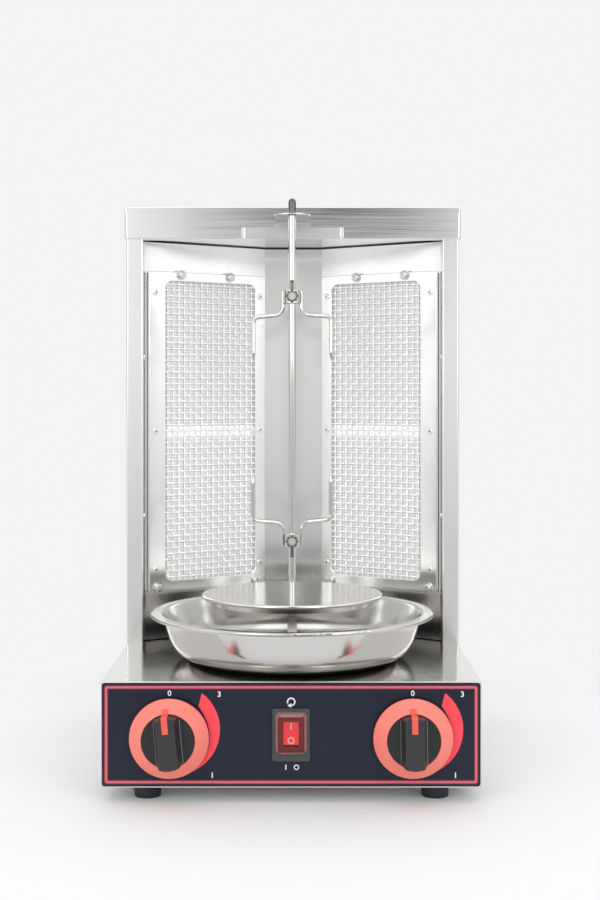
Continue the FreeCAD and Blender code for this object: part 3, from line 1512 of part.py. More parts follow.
def make_gland():
    """Screwed through the rear plate; its bore takes the mains lead."""
    inner = base_depth - gland_thread_length
    outline = [(gland_bore_radius, 0), (gland_thread_radius, 0),
               (gland_thread_radius, gland_thread_length), (gland_nut_radius, gland_thread_length),
               (gland_nut_radius, gland_thread_length + gland_nut_straight),
               (gland_nut_end, gland_thread_length + gland_nut_length),
               (gland_bore_radius, gland_thread_length + gland_nut_length)]
    return turned(outline, Vector(gland_x, back(inner), gland_z), Vector(0, 1, 0))


def make_leads():
    """Mains lead from the gland to the switch, and the lead from the switch to the motor."""
    start = base_depth - 1.0
    switch_end = housing_depth + terminal_length + 0.1
    left = -terminal_spacing / 2
    mains = [Vector(gland_x, back(start), gland_z),
             Vector(gland_x, back(start - lead_reach), gland_z - lead_sag),
             Vector(gland_x, back(start - 2 * lead_reach), gland_z + lead_rise),
             Vector(gland_x + lead_side_step, back(switch_end + lead_front_room), gland_z + lead_rise / 2),
             Vector(left, back(switch_end + lead_straight), switch_z),
             Vector(left, back(switch_end), switch_z)]
    mains_bends = [lead_slow_bend, lead_wide_bend, lead_short_bend, lead_end_bend]
    mains_lead = tube_along(mains, mains_bends, mains_lead_radius)
    right = terminal_spacing / 2
    nearest = right - motor_lead_radius
    motor_front = spit_depth - math.sqrt(motor_radius ** 2 - nearest ** 2) - 0.1
    middle_z = motor_top - motor_height / 2
    span = motor_front - switch_end
    motor = [Vector(right, back(switch_end), switch_z), Vector(right, back(switch_end + span / 3), switch_z),
             Vector(right, back(motor_front - span / 3), middle_z),
             Vector(right, back(motor_front), middle_z)]
    motor_lead = tube_along(motor, [motor_lead_bend, motor_lead_bend], motor_lead_radius)
    return [mains_lead, motor_lead]


nodes["cable_gland"] = make_gland()
nodes["wire_leads"] = make_leads()

# Fasteners


def make_screws():
    screws = []
    for x, depth in foot_places:
        screws.append(placed(pan_head_screw(plate_z + sheet - foot_recess_depth + screw_grip),
                             Vector(x, back(depth), foot_recess_depth), Vector(0, 0, -1)))
    for x, depth in floor_screws:
        screws.append(placed(pan_head_screw(2 * sheet + screw_grip),
                             Vector(x, back(depth), foot_height), Vector(0, 0, -1)))
    for x, z in base_rear_screws + tower_rear_screws:
        screws.append(placed(pan_head_screw(2 * sheet + screw_grip),
                             Vector(x, back(rear_cover_depth + sheet), z), Vector(0, 1, 0)))
    ear_x = motor_radius + motor_ear_reach - motor_screw_inset
    for side in (-1, 1):
        screws.append(placed(pan_head_screw(motor_ear_thickness + bracket_sheet + screw_grip),
                             Vector(side * ear_x, axis_y, motor_top - motor_ear_thickness),
                             Vector(0, 0, -1)))
    return screws


def make_bolts():
    bolts = []
    for place, z in bolt_places():
        bolt = on_wall(placed(burner_bolt(), Vector(place, -frame_proud, z), Vector(0, -1, 0)))
        bolts += [bolt, mirrored(bolt)]
    return bolts


def make_rivets():
    rivets = []
    for place, z in rivet_places():
        rivet = placed(pop_rivet(frame_proud + wall_sheet + rivet_tail), Vector(place, -frame_proud, z),
                       Vector(0, -1, 0))
        rivet = on_wall(rivet)
        rivets += [rivet, mirrored(rivet)]
    for z in post_rivet_rows:
        rivet = placed(pop_rivet(sheet + wall_sheet + rivet_tail),
                       Vector(-post_inner, back(post_rivet_depth), z), Vector(1, 0, 0))
        rivets += [rivet, mirrored(rivet)]
    return rivets


nodes["machine_screws"] = make_screws()
nodes["burner_bolts"] = make_bolts()
nodes["pop_rivets"] = make_rivets()

for name, shape in nodes.items():
    pieces = shape if isinstance(shape, list) else [shape]
    solids = [solid for piece in pieces for solid in piece.Solids]
    whole = solids[0] if len(solids) == 1 else Part.makeCompound(solids)
    whole.exportStep("parts/" + name + ".step")
    print(name, len(solids), "solids", round(sum(s.Volume for s in solids) / 1000, 2), "cm3",
          all(s.isValid() for s in solids))
print(len(nodes), "nodes")
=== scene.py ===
# %% [markdown]
# # A small vertical doner grill
#
# The grill is a folded stainless box with two gas burners in a V behind a turning spit.
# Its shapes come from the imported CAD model, which is loaded first as a fixed frame.
# This file adds what a maker would add after the metalwork: the woven screens over the
# burners, the printing on the panel, the marks on the switch, and every finish.

import math

import bpy
import numpy as np
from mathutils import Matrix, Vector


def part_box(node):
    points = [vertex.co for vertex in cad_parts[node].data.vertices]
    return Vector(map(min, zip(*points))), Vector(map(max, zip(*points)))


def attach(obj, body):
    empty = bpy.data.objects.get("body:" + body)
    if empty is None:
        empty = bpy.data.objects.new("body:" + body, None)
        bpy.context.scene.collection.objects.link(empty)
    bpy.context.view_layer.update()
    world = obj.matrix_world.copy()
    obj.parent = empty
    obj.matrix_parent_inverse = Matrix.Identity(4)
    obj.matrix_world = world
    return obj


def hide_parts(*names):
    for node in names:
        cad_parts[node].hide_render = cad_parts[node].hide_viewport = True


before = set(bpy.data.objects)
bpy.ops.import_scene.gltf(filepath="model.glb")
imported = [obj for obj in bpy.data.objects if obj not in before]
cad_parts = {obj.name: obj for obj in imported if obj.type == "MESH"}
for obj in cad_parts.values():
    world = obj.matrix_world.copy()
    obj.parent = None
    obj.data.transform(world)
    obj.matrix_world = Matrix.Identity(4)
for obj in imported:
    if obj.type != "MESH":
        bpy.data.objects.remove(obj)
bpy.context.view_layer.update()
MM = 0.001

# %% [markdown]
# ## Where things are
#
# Depths are counted back from the front face of the base, as on a workshop drawing.
# The burner walls are turned, so points on them are given along the wall, out from its
# face and up. One function turns such points into the frame's x, y and z.

# %% Depths and wall coordinates
base_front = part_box("base_shell")[0].y
WALL_CORNER = (148.6, 206.0)
WALL_END = (28.9, 283.5)
wall_run = WALL_CORNER[0] - WALL_END[0]
wall_rise = WALL_END[1] - WALL_CORNER[1]
wall_length = math.hypot(wall_run, wall_rise)
ALONG = (wall_run / wall_length, wall_rise / wall_length)


def behind_front(depth):
    """The y of a depth in millimetres behind the front face of the base."""
    return base_front + depth * MM


def on_wall(along, out, up, side):
    """Points in metres from millimetres along a wall, out from its face and up.

    x = -corner + along * cos + out * sin, depth = corner + along * sin - out * cos;
    the right-hand wall is the mirror image in x.
    """
    x = -WALL_CORNER[0] + along * ALONG[0] + out * ALONG[1]
    depth = WALL_CORNER[1] + along * ALONG[1] - out * ALONG[0]
    if side == "right":
        x = -x
    return np.stack([x * MM, base_front + depth * MM, up * MM + 0 * x], axis=-1)


wall_angle = math.degrees(math.asin(ALONG[1]))
print("wall", round(wall_length, 1), "mm long at", round(wall_angle, 1), "degrees")

# %% [markdown]
# ## Camera
#
# The photograph was taken level, from about 1.25 m in front of the panel, with a lens
# a little longer than normal. A small shift keeps the uprights parallel, as a
# photographer does, so the horizon sits above the middle of the frame.

# %% Camera
PHOTO_WIDTH, PHOTO_HEIGHT = 600, 900
FOCAL_PIXELS = 1440.0
VANISHING_POINT = (303.5, 394.0)
CAMERA_X, CAMERA_DISTANCE, CAMERA_Z = 10.7, 1247.0, 354.7

camera_data = bpy.data.cameras.new("camera")
camera_data.sensor_fit = "VERTICAL"
camera_data.sensor_height = 36.0
camera_data.lens = FOCAL_PIXELS / PHOTO_HEIGHT * camera_data.sensor_height
camera_data.shift_x = (PHOTO_WIDTH / 2 - VANISHING_POINT[0]) / PHOTO_HEIGHT
camera_data.shift_y = (VANISHING_POINT[1] - PHOTO_HEIGHT / 2) / PHOTO_HEIGHT
camera = bpy.data.objects.new("camera", camera_data)
camera.location = (CAMERA_X * MM, behind_front(-CAMERA_DISTANCE), CAMERA_Z * MM)
camera.rotation_euler = (math.pi / 2, 0, 0)
bpy.context.scene.collection.objects.link(camera)
bpy.context.scene.camera = camera
bpy.context.scene.view_settings.view_transform = "Standard"
print("lens", round(camera_data.lens, 1), "mm")

# %% [markdown]
# ## Materials: helpers
#
# Colours are written as sRGB hex values, the way a paint card gives them, and one
# function turns them to the linear values that the shader wants. Another adds a node with
# its settings and its links, and one makes a material with its shader, so each finish
# below reads as a short recipe. The last one puts a finish on CAD nodes by name.

# %% Colour and node helpers
def paint(code):
    """sRGB hex to linear RGBA: c/12.92 below 0.04045, else ((c + 0.055)/1.055)^2.4."""
    channels = [int(code[i:i + 2], 16) / 255 for i in (1, 3, 5)]
    linear = [c / 12.92 if c <= 0.04045 else ((c + 0.055) / 1.055) ** 2.4 for c in channels]
    return (*linear, 1.0)


def add_node(material, kind, settings=None, inputs=None):
    """Adds a node; an input given as a socket is linked, anything else is set as a value."""
    node = material.node_tree.nodes.new(kind)
    for name, value in (settings or {}).items():
        setattr(node, name, value)
    for name, value in (inputs or {}).items():
        if isinstance(value, bpy.types.NodeSocket):
            material.node_tree.links.new(value, node.inputs[name])
        else:
            node.inputs[name].default_value = value
    return node


def new_finish(name, colour, metallic=0.0, roughness=0.5, **sockets):
    """A material with one Principled shader; extra sockets are given by name."""
    material = bpy.data.materials.new(name)
    material.use_nodes = True
    shader = material.node_tree.nodes["Principled BSDF"]
    shader.inputs["Base Color"].default_value = paint(colour)
    shader.inputs["Metallic"].default_value = metallic
    shader.inputs["Roughness"].default_value = roughness
    for socket, value in sockets.items():
        shader.inputs[socket.replace("_", " ")].default_value = value
    return material, shader


def link(material, output, shader, socket):
    material.node_tree.links.new(output, shader.inputs[socket])


def object_coordinates(material):
    return add_node(material, "ShaderNodeTexCoord").outputs["Object"]


def give(material, *names):
    """Puts one finish on every slot of the named CAD nodes."""
    for name in names:
        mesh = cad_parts[name].data
        mesh.materials.clear()
        mesh.materials.append(material)


print("white is", paint("#ffffff")[:3])

# %% [markdown]
# ## Brushed stainless sheet
#
# The box, posts, hood and walls are folded from 430 stainless with a fine brushed,
# nearly bright finish. Brushing leaves scratches all in one direction, a few hundredths
# of a millimetre apart; here they are drawn about 0.6 mm apart, because finer ones would
# vanish in the render. A noise stretched along the brushing direction gives both a small
# bump and a small change of roughness, and a broad, weak noise stands for the slight
# waves of thin sheet.

# %% Brushed stainless
def brushed_steel(name, colour, roughness, direction, streak=0.10, bump=0.05, wave=0.25):
    """direction is the axis the brushing runs along: 0 for x, 1 for y, 2 for z."""
    material, shader = new_finish(name, colour, 1.0, roughness)
    point = object_coordinates(material)
    across, along = 1 / (0.6 * MM), 1 / (90 * MM)
    scale = [across, across, across]
    scale[direction] = along
    stretched = add_node(material, "ShaderNodeVectorMath", {"operation": "MULTIPLY"},
                         {0: point, 1: scale}).outputs["Vector"]
    scratches = add_node(material, "ShaderNodeTexNoise", None,
                         {"Vector": stretched, "Scale": 1.0, "Detail": 3.0,
                          "Roughness": 0.6}).outputs["Fac"]
    rough = add_node(material, "ShaderNodeMapRange", None,
                     {"Value": scratches, "From Min": 0.3, "From Max": 0.7,
                      "To Min": roughness - streak / 2,
                      "To Max": roughness + streak / 2}).outputs["Result"]
    link(material, rough, shader, "Roughness")
    waves = add_node(material, "ShaderNodeTexNoise", None,
                     {"Vector": point, "Scale": 1 / (120 * MM), "Detail": 1.0}).outputs["Fac"]
    broad = add_node(material, "ShaderNodeBump", None,
                     {"Height": waves, "Strength": wave, "Distance": 1.2 * MM}).outputs["Normal"]
    fine = add_node(material, "ShaderNodeBump", None,
                    {"Height": scratches, "Strength": bump, "Distance": 0.05 * MM,
                     "Normal": broad}).outputs["Normal"]
    link(material, fine, shader, "Normal")
    return material


steel_upright = brushed_steel("brushed stainless, upright grain", "#f9f8f7", 0.22, 2)
steel_across = brushed_steel("brushed stainless, grain across", "#f9f8f7", 0.17, 0)
steel_wall = brushed_steel("bright stainless wall", "#f4f3f2", 0.17, 2, streak=0.06, bump=0.03,
                           wave=0.5)
steel_deck = brushed_steel("bright stainless deck", "#dddbd8", 0.16, 0, streak=0.05, bump=0.03,
                           wave=0.35)
steel_frame = brushed_steel("polished stainless frame", "#f8f8f7", 0.17, 2, streak=0.05,
                            bump=0.02, wave=0.6)
steel_satin = brushed_steel("satin stainless bracket", "#dad9db", 0.36, 0)
steel_hidden = brushed_steel("mill-finish steel", "#a9a9a8", 0.42, 2)

give(steel_upright, "side_panel_left", "side_panel_right", "rear_cover")
give(steel_across, "hood", "top_lid", "rear_plate", "bottom_plate")
give(steel_satin, "spit_bracket")
give(steel_wall, "burner_wall_left", "burner_wall_right", "back_panel", "ceiling_plate")
give(steel_deck, "base_shell")
give(steel_frame, "burner_frame_left", "burner_frame_right")
give(steel_hidden, "burner_box_left", "burner_box_right", "motor_bracket", "gas_manifold")

# %% [markdown]
# ## Spun and polished stainless
#
# The pan and the meat disc are spun on a lathe, then polished. The tool leaves rings
# about a millimetre apart, so the bump follows the distance from the spit axis. Rod,
# forks and screws are drawn wire and bar with a bright finish.

# %% Spun and drawn bright stainless
spit_centre = (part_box("drip_pan")[0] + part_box("drip_pan")[1]) / 2


def spun_steel(name, colour, roughness, ring_spacing, bump):
    """Rings: the bump height is a noise of the distance from the spit axis."""
    material, shader = new_finish(name, colour, 1.0, roughness)
    point = object_coordinates(material)
    centred = add_node(material, "ShaderNodeVectorMath", {"operation": "SUBTRACT"},
                       {0: point, 1: (spit_centre.x, spit_centre.y, 0)}).outputs["Vector"]
    flat = add_node(material, "ShaderNodeVectorMath", {"operation": "MULTIPLY"},
                    {0: centred, 1: (1, 1, 0)}).outputs["Vector"]
    radius = add_node(material, "ShaderNodeVectorMath", {"operation": "LENGTH"},
                      {0: flat}).outputs["Value"]
    rings = add_node(material, "ShaderNodeTexNoise", {"noise_dimensions": "1D"},
                     {"W": radius, "Scale": 1 / (ring_spacing * MM), "Detail": 3.0,
                      "Roughness": 0.7}).outputs["Fac"]
    height = add_node(material, "ShaderNodeBump", None,
                      {"Height": rings, "Strength": bump, "Distance": 0.06 * MM}).outputs["Normal"]
    link(material, height, shader, "Normal")
    return material


pan_steel = spun_steel("polished spun stainless", "#d5d4d1", 0.16, 1.2, 0.25)
disc_steel = spun_steel("turned stainless disc", "#e3e1de", 0.15, 0.9, 0.3)
give(pan_steel, "drip_pan")
give(disc_steel, "meat_disc")

bright_bar, bar_shader = new_finish("drawn bright stainless", "#d2d1cf", 1.0, 0.09)
bar_point = object_coordinates(bright_bar)
bar_scratches = add_node(bright_bar, "ShaderNodeTexNoise", None,
                         {"Vector": bar_point, "Scale": 1 / (1.5 * MM), "Detail": 2.0})
bar_bump = add_node(bright_bar, "ShaderNodeBump", None,
                    {"Height": bar_scratches.outputs["Fac"], "Strength": 0.12,
                     "Distance": 0.03 * MM})
link(bright_bar, bar_bump.outputs["Normal"], bar_shader, "Normal")
give(bright_bar, "upper_fork", "lower_fork", "drive_socket")

# %% [markdown]
# The rod's end above its bracket is painted dark, a painted dark reflection of dark surroundings
# in its polished tip. The heads of the thumb screws carry a painted highlight, bright in the
# middle, with painted shade towards the grooves, so their tone follows the distance from the axis
# of the nearer screw.

# %% Rod end and screw heads
PAINTED_DARK_END_UP = (522.3, 524.3)
SCREW_UP = (446.4, 216.7)
SCREW_PAINTED_HIGHLIGHT = (2.0, 5.2)


def toned_bar(name, roughness, value, low, high, dark, bright):
    """Bar whose tone runs from bright at low to dark at high, in millimetres of the value."""
    material, shader = new_finish(name, bright, 1.0, roughness)
    mask = add_node(material, "ShaderNodeMapRange", {"interpolation_type": "SMOOTHSTEP"},
                    {"From Min": low * MM, "From Max": high * MM})
    link(material, value(material), mask, "Value")
    tone = add_node(material, "ShaderNodeMix", {"data_type": "RGBA"},
                    {"Factor": mask.outputs["Result"], 6: paint(bright), 7: paint(dark)})
    link(material, tone.outputs[2], shader, "Base Color")
    return material


def height_up(material):
    return add_node(material, "ShaderNodeSeparateXYZ", None,
                    {0: object_coordinates(material)}).outputs["Z"]


def from_screw_axis(material):
    """Distance from the nearer of the two screw axes, seen from the front."""
    axes = add_node(material, "ShaderNodeSeparateXYZ", None, {0: object_coordinates(material)})
    middle = add_node(material, "ShaderNodeMath", {"operation": "SUBTRACT"},
                      {0: axes.outputs["Z"], 1: sum(SCREW_UP) / 2 * MM})
    off_middle = add_node(material, "ShaderNodeMath", {"operation": "ABSOLUTE"},
                          {0: middle.outputs[0]})
    off_axis = add_node(material, "ShaderNodeMath", {"operation": "SUBTRACT"},
                        {0: off_middle.outputs[0], 1: (SCREW_UP[0] - SCREW_UP[1]) / 2 * MM})
    beside = add_node(material, "ShaderNodeCombineXYZ", None,
                      {"X": axes.outputs["X"], "Y": off_axis.outputs[0]})
    return add_node(material, "ShaderNodeVectorMath", {"operation": "LENGTH"},
                    {0: beside.outputs[0]}).outputs["Value"]


# The rod's dark end is a painted dark reflection.
rod_steel = toned_bar("rod with a painted dark reflection at its end", 0.09, height_up, *PAINTED_DARK_END_UP, "#6b6a69", "#d2d1cf")
# Painted highlight in the middle of each screw head, painted shade towards its edge.
screw_painted_highlight_steel = toned_bar("thumb screw steel with painted highlight", 0.14, from_screw_axis, *SCREW_PAINTED_HIGHLIGHT,
                        "#72716f", "#f2f1ef")
give(rod_steel, "spit_rod")
give(screw_painted_highlight_steel, "upper_thumb_screw", "lower_thumb_screw")

# %% [markdown]
# ## Screws, rivets and gas fittings
#
# Blue-passivated zinc looks like steel with a cold tint and a slightly cloudy surface.
# The rivets are bright aluminium, the gas fittings machined brass and the gas pipes drawn
# aluminium tube.

# %% Zinc and brass
zinc, zinc_shader = new_finish("blue-passivated zinc", "#dde3e5", 1.0, 0.26)
zinc_cloud = add_node(zinc, "ShaderNodeTexNoise", None,
                      {"Vector": object_coordinates(zinc), "Scale": 1 / (2.5 * MM),
                       "Detail": 2.0})
zinc_rough = add_node(zinc, "ShaderNodeMapRange", None,
                      {"Value": zinc_cloud.outputs["Fac"], "To Min": 0.18, "To Max": 0.36})
link(zinc, zinc_rough.outputs["Result"], zinc_shader, "Roughness")
give(zinc, "machine_screws", "burner_bolts")

rivet_metal, rivet_shader = new_finish("bright aluminium rivet", "#f3f3f3", 1.0, 0.25)
rivet_cloud = add_node(rivet_metal, "ShaderNodeTexNoise", None,
                       {"Vector": object_coordinates(rivet_metal), "Scale": 1 / (1.5 * MM)})
rivet_rough = add_node(rivet_metal, "ShaderNodeMapRange", None,
                       {"Value": rivet_cloud.outputs["Fac"], "To Min": 0.18, "To Max": 0.32})
link(rivet_metal, rivet_rough.outputs["Result"], rivet_shader, "Roughness")
give(rivet_metal, "pop_rivets")

brass, brass_shader = new_finish("machined brass", "#d8b467", 1.0, 0.28)
brass_marks = add_node(brass, "ShaderNodeTexNoise", None,
                       {"Vector": object_coordinates(brass), "Scale": 1 / (1.2 * MM),
                        "Detail": 3.0})
brass_bump = add_node(brass, "ShaderNodeBump", None,
                      {"Height": brass_marks.outputs["Fac"], "Strength": 0.2,
                       "Distance": 0.05 * MM})
link(brass, brass_bump.outputs["Normal"], brass_shader, "Normal")
give(brass, "valve_body_left", "valve_body_right", "valve_stem_left", "valve_stem_right",
     "spring_cup_left", "spring_cup_right", "gas_inlet", "injectors", "deck_bush")

tube_aluminium, tube_shader = new_finish("drawn aluminium tube", "#cfd0d1", 1.0, 0.38)
tube_marks = add_node(tube_aluminium, "ShaderNodeTexNoise", None,
                      {"Vector": object_coordinates(tube_aluminium), "Scale": 1 / (3 * MM)})
tube_bump = add_node(tube_aluminium, "ShaderNodeBump", None,
                     {"Height": tube_marks.outputs["Fac"], "Strength": 0.15,
                      "Distance": 0.05 * MM})
link(tube_aluminium, tube_bump.outputs["Normal"], tube_shader, "Normal")
give(tube_aluminium, "gas_pipe_left", "gas_pipe_right")

# %% [markdown]
# ## Moulded parts
#
# Knob skirts are injection-moulded ABS in coral, knob grips are black phenolic, the
# switch is nylon with a fine spark-eroded grain, and its cover is clear soft PVC. All
# moulded plastic shows a faint grain, which is a fine noise bump of about 0.3 mm. The
# cover is nearly clear over its middle and milky at its rim, by the larger of |x| and |z|
# as shares of its half width and half height. The grip is darker on its dial and paler towards the
# front of its bar.

# %% Plastics and rubber
def moulded(name, colour, roughness, grain=0.3, bump=0.15, **sockets):
    """Plastic with a fine grain; grain is its spacing in millimetres."""
    material, shader = new_finish(name, colour, 0.0, roughness, **sockets)
    point = object_coordinates(material)
    noise = add_node(material, "ShaderNodeTexNoise", None,
                     {"Vector": point, "Scale": 1 / (grain * MM), "Detail": 2.0}).outputs["Fac"]
    normal = add_node(material, "ShaderNodeBump", None,
                      {"Height": noise, "Strength": bump, "Distance": 0.03 * MM}).outputs["Normal"]
    link(material, normal, shader, "Normal")
    return material


BOOT_CENTRE_UP, BOOT_HALVES = 61.5, (12.8, 17.0)
VEIL_FROM, VEIL_TO, VEIL_MIDDLE, VEIL_RIM = 0.86, 0.96, 0.04, 0.40
DIAL_OUT, BAR_OUT = 16.6, 18.0
coral = moulded("coral ABS", "#f88474", 0.3, bump=0.06)
pointer_red = moulded("coral red ABS", "#ee5c50", 0.3, bump=0.06)
knob_black = moulded("black phenolic", "#2a2a2c", 0.38, bump=0.12)
switch_grey = moulded("charcoal nylon", "#3f4345", 0.5, grain=0.25, bump=0.35)
signal_red = moulded("signal red polycarbonate", "#ff5a60", 0.25, bump=0.05)
foot_rubber = moulded("black rubber", "#23272a", 0.62, grain=0.4, bump=0.3)
gland_black = moulded("black nylon", "#1d1d1f", 0.5)
lead_sleeve = moulded("black PVC sleeve", "#222326", 0.5)
motor_paint = moulded("grey enamel", "#6f7275", 0.4, grain=0.5)

dial_depth = add_node(knob_black, "ShaderNodeSeparateXYZ", None,
                      {0: object_coordinates(knob_black)})
bar_rise = add_node(knob_black, "ShaderNodeMapRange", None,
                    {"Value": dial_depth.outputs["Y"], "From Min": behind_front(-DIAL_OUT),
                     "From Max": behind_front(-BAR_OUT)})
knob_tone = add_node(knob_black, "ShaderNodeMix", {"data_type": "RGBA"},
                     {"Factor": bar_rise.outputs["Result"], 6: paint("#19191b"),
                      7: paint("#2c2c2e")})
link(knob_black, knob_tone.outputs[2], knob_black.node_tree.nodes["Principled BSDF"], "Base Color")
give(coral, "knob_skirt_left", "knob_skirt_right")
give(pointer_red, "knob_pointer_left", "knob_pointer_right")
give(knob_black, "knob_grip_left", "knob_grip_right")
give(switch_grey, "switch_body")
give(signal_red, "switch_rocker")
give(foot_rubber, "rubber_feet")
give(gland_black, "cable_gland")
give(lead_sleeve, "wire_leads")
give(motor_paint, "gear_motor")

clear_pvc, pvc_shader = new_finish("clear soft PVC", "#cfa9a6", 0.0, 0.12)
pvc_point = object_coordinates(clear_pvc)
pvc_cloud = add_node(clear_pvc, "ShaderNodeTexNoise", None,
                     {"Vector": pvc_point, "Scale": 1 / (6 * MM)})
pvc_bump = add_node(clear_pvc, "ShaderNodeBump", None,
                    {"Height": pvc_cloud.outputs["Fac"], "Strength": 0.2, "Distance": 0.2 * MM})
link(clear_pvc, pvc_bump.outputs["Normal"], pvc_shader, "Normal")
from_centre = add_node(clear_pvc, "ShaderNodeVectorMath", {"operation": "SUBTRACT"},
                       {0: pvc_point, 1: (0, 0, BOOT_CENTRE_UP * MM)})
in_halves = add_node(clear_pvc, "ShaderNodeVectorMath", {"operation": "DIVIDE"},
                     {0: from_centre.outputs["Vector"],
                      1: (BOOT_HALVES[0] * MM, 1.0, BOOT_HALVES[1] * MM)})
without_sign = add_node(clear_pvc, "ShaderNodeVectorMath", {"operation": "ABSOLUTE"},
                        {0: in_halves.outputs["Vector"]})
boot_axes = add_node(clear_pvc, "ShaderNodeSeparateXYZ", None, {0: without_sign.outputs["Vector"]})
edge_reach = add_node(clear_pvc, "ShaderNodeMath", {"operation": "MAXIMUM"},
                      {0: boot_axes.outputs["X"], 1: boot_axes.outputs["Z"]})
pvc_veil = add_node(clear_pvc, "ShaderNodeMapRange", {"interpolation_type": "SMOOTHSTEP"},
                    {"Value": edge_reach.outputs[0], "From Min": VEIL_FROM, "From Max": VEIL_TO,
                     "To Min": VEIL_MIDDLE, "To Max": VEIL_RIM})
pvc_through = add_node(clear_pvc, "ShaderNodeBsdfTransparent", None, {"Color": paint("#fbe8e6")})
pvc_mix = add_node(clear_pvc, "ShaderNodeMixShader", None,
                   {0: pvc_veil.outputs["Result"], 1: pvc_through.outputs["BSDF"],
                    2: pvc_shader.outputs["BSDF"]})
clear_pvc.node_tree.links.new(pvc_mix.outputs["Shader"],
                              clear_pvc.node_tree.nodes["Material Output"].inputs["Surface"])
give(clear_pvc, "switch_boot")

# %% [markdown]
# ## Panel film
#
# The front carries a printed polyester film, dark blue-grey with a soft gloss. Screen
# printing leaves an even colour, so only a very weak mottling is added.

# %% Panel film
panel_film, film_shader = new_finish("printed polyester film", "#1e2233", 0.0, 0.32,
                                     Specular_IOR_Level=0.25)
film_noise = add_node(panel_film, "ShaderNodeTexNoise", None,
                      {"Vector": object_coordinates(panel_film), "Scale": 1 / (0.5 * MM),
                       "Detail": 2.0})
film_tone = add_node(panel_film, "ShaderNodeMix", {"data_type": "RGBA"},
                     {"Factor": film_noise.outputs["Fac"], 6: paint("#1b1f2f"),
                      7: paint("#212537")})
link(panel_film, film_tone.outputs[2], film_shader, "Base Color")
give(panel_film, "panel_overlay")

# %% [markdown]
# ## Ceramic plaques
#
# Infrared burner plaques are white cordierite with rows of flame holes, 1.4 mm across and
# 2.5 mm apart. The two walls are mirror images, so |x| serves for both: the distance along
# a wall is then y * rise - |x| * run. A Voronoi pattern without randomness in that distance
# and the height gives regular rows, and its distance from the nearest centre the holes,
# painted grey as painted shade for their depth.
# A small emission lifts the plaques and their joints to the brightness in the photograph.

# %% Ceramic
HOLE_PITCH = 2.5
PLAQUE_GLOW, JOINT_GLOW = 0.2, 0.25
ceramic, ceramic_shader = new_finish("perforated cordierite", "#ffffff", 0.0, 0.85)
ceramic_axes = add_node(ceramic, "ShaderNodeSeparateXYZ", None, {0: object_coordinates(ceramic)})
size_of_x = add_node(ceramic, "ShaderNodeMath", {"operation": "ABSOLUTE"},
                     {0: ceramic_axes.outputs["X"]})
run_part = add_node(ceramic, "ShaderNodeMath", {"operation": "MULTIPLY"},
                    {0: size_of_x.outputs[0], 1: -ALONG[0]})
along_plaque = add_node(ceramic, "ShaderNodeMath", {"operation": "MULTIPLY_ADD"},
                        {0: ceramic_axes.outputs["Y"], 1: ALONG[1], 2: run_part.outputs[0]})
plaque_plane = add_node(ceramic, "ShaderNodeCombineXYZ", None,
                        {"X": along_plaque.outputs[0], "Y": ceramic_axes.outputs["Z"]})
hole_grid = add_node(ceramic, "ShaderNodeTexVoronoi", {"voronoi_dimensions": "2D"},
                     {"Vector": plaque_plane.outputs[0], "Scale": 1 / (HOLE_PITCH * MM),
                      "Randomness": 0.0})
# The grey of each hole is painted shade for its depth.
hole_tone = add_node(ceramic, "ShaderNodeMapRange", None,
                     {"Value": hole_grid.outputs["Distance"], "From Min": 0.24,
                      "From Max": 0.32})
hole_painted_shade_colour = add_node(ceramic, "ShaderNodeMix", {"data_type": "RGBA"},
                       {"Factor": hole_tone.outputs["Result"], 6: paint("#bcb9b6"),
                        7: paint("#ffffff")})
link(ceramic, hole_painted_shade_colour.outputs[2], ceramic_shader, "Base Color")
link(ceramic, hole_painted_shade_colour.outputs[2], ceramic_shader, "Emission Color")
ceramic_shader.inputs["Emission Strength"].default_value = PLAQUE_GLOW
give(ceramic, "ceramic_plaques")

cement, cement_shader = new_finish("white fire cement", "#ffffff", 0.0, 0.8,
                                   Emission_Color=paint("#ffffff"), Emission_Strength=JOINT_GLOW)
cement_grit = add_node(cement, "ShaderNodeTexNoise", None,
                       {"Vector": object_coordinates(cement), "Scale": 1 / (0.8 * MM),
                        "Detail": 4.0})
cement_bump = add_node(cement, "ShaderNodeBump", None,
                       {"Height": cement_grit.outputs["Fac"], "Strength": 0.4,
                        "Distance": 0.2 * MM})
link(cement, cement_bump.outputs["Normal"], cement_shader, "Normal")
give(cement, "plaque_joints")

# %% [markdown]
# ## New pieces: meshes from arrays
#
# The pieces below are surfaces worked out as whole numpy arrays. A tube is a circle
# carried along a path; a printed mark is a flat ribbon between two edges. One function
# turns a grid of points into a mesh, and one finishes a piece: its material and the
# body it rides on.

# %% Grid meshes
def grid_faces(rows, columns, closed):
    """Quads of a grid of points numbered row by row; closed joins the last column to the first."""
    row = np.arange(rows - 1)[:, None]
    column = np.arange(columns if closed else columns - 1)[None, :]
    following = (column + 1) % columns
    return np.stack([row * columns + column, row * columns + following,
                     (row + 1) * columns + following, (row + 1) * columns + column],
                    axis=-1).reshape(-1, 4)


def mesh_from(name, points, faces, smooth=True):
    mesh = bpy.data.meshes.new(name)
    mesh.from_pydata(points.reshape(-1, 3).tolist(), [], [list(map(int, f)) for f in faces])
    mesh.polygons.foreach_set("use_smooth", np.full(len(mesh.polygons), smooth))
    mesh.validate()
    mesh.update()
    piece = bpy.data.objects.new(name, mesh)
    bpy.context.scene.collection.objects.link(piece)
    return piece


def finish_piece(piece, material, body):
    piece.data.materials.clear()
    piece.data.materials.append(material)
    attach(piece, body)
    print(piece.name, len(piece.data.polygons), "faces")
    return piece
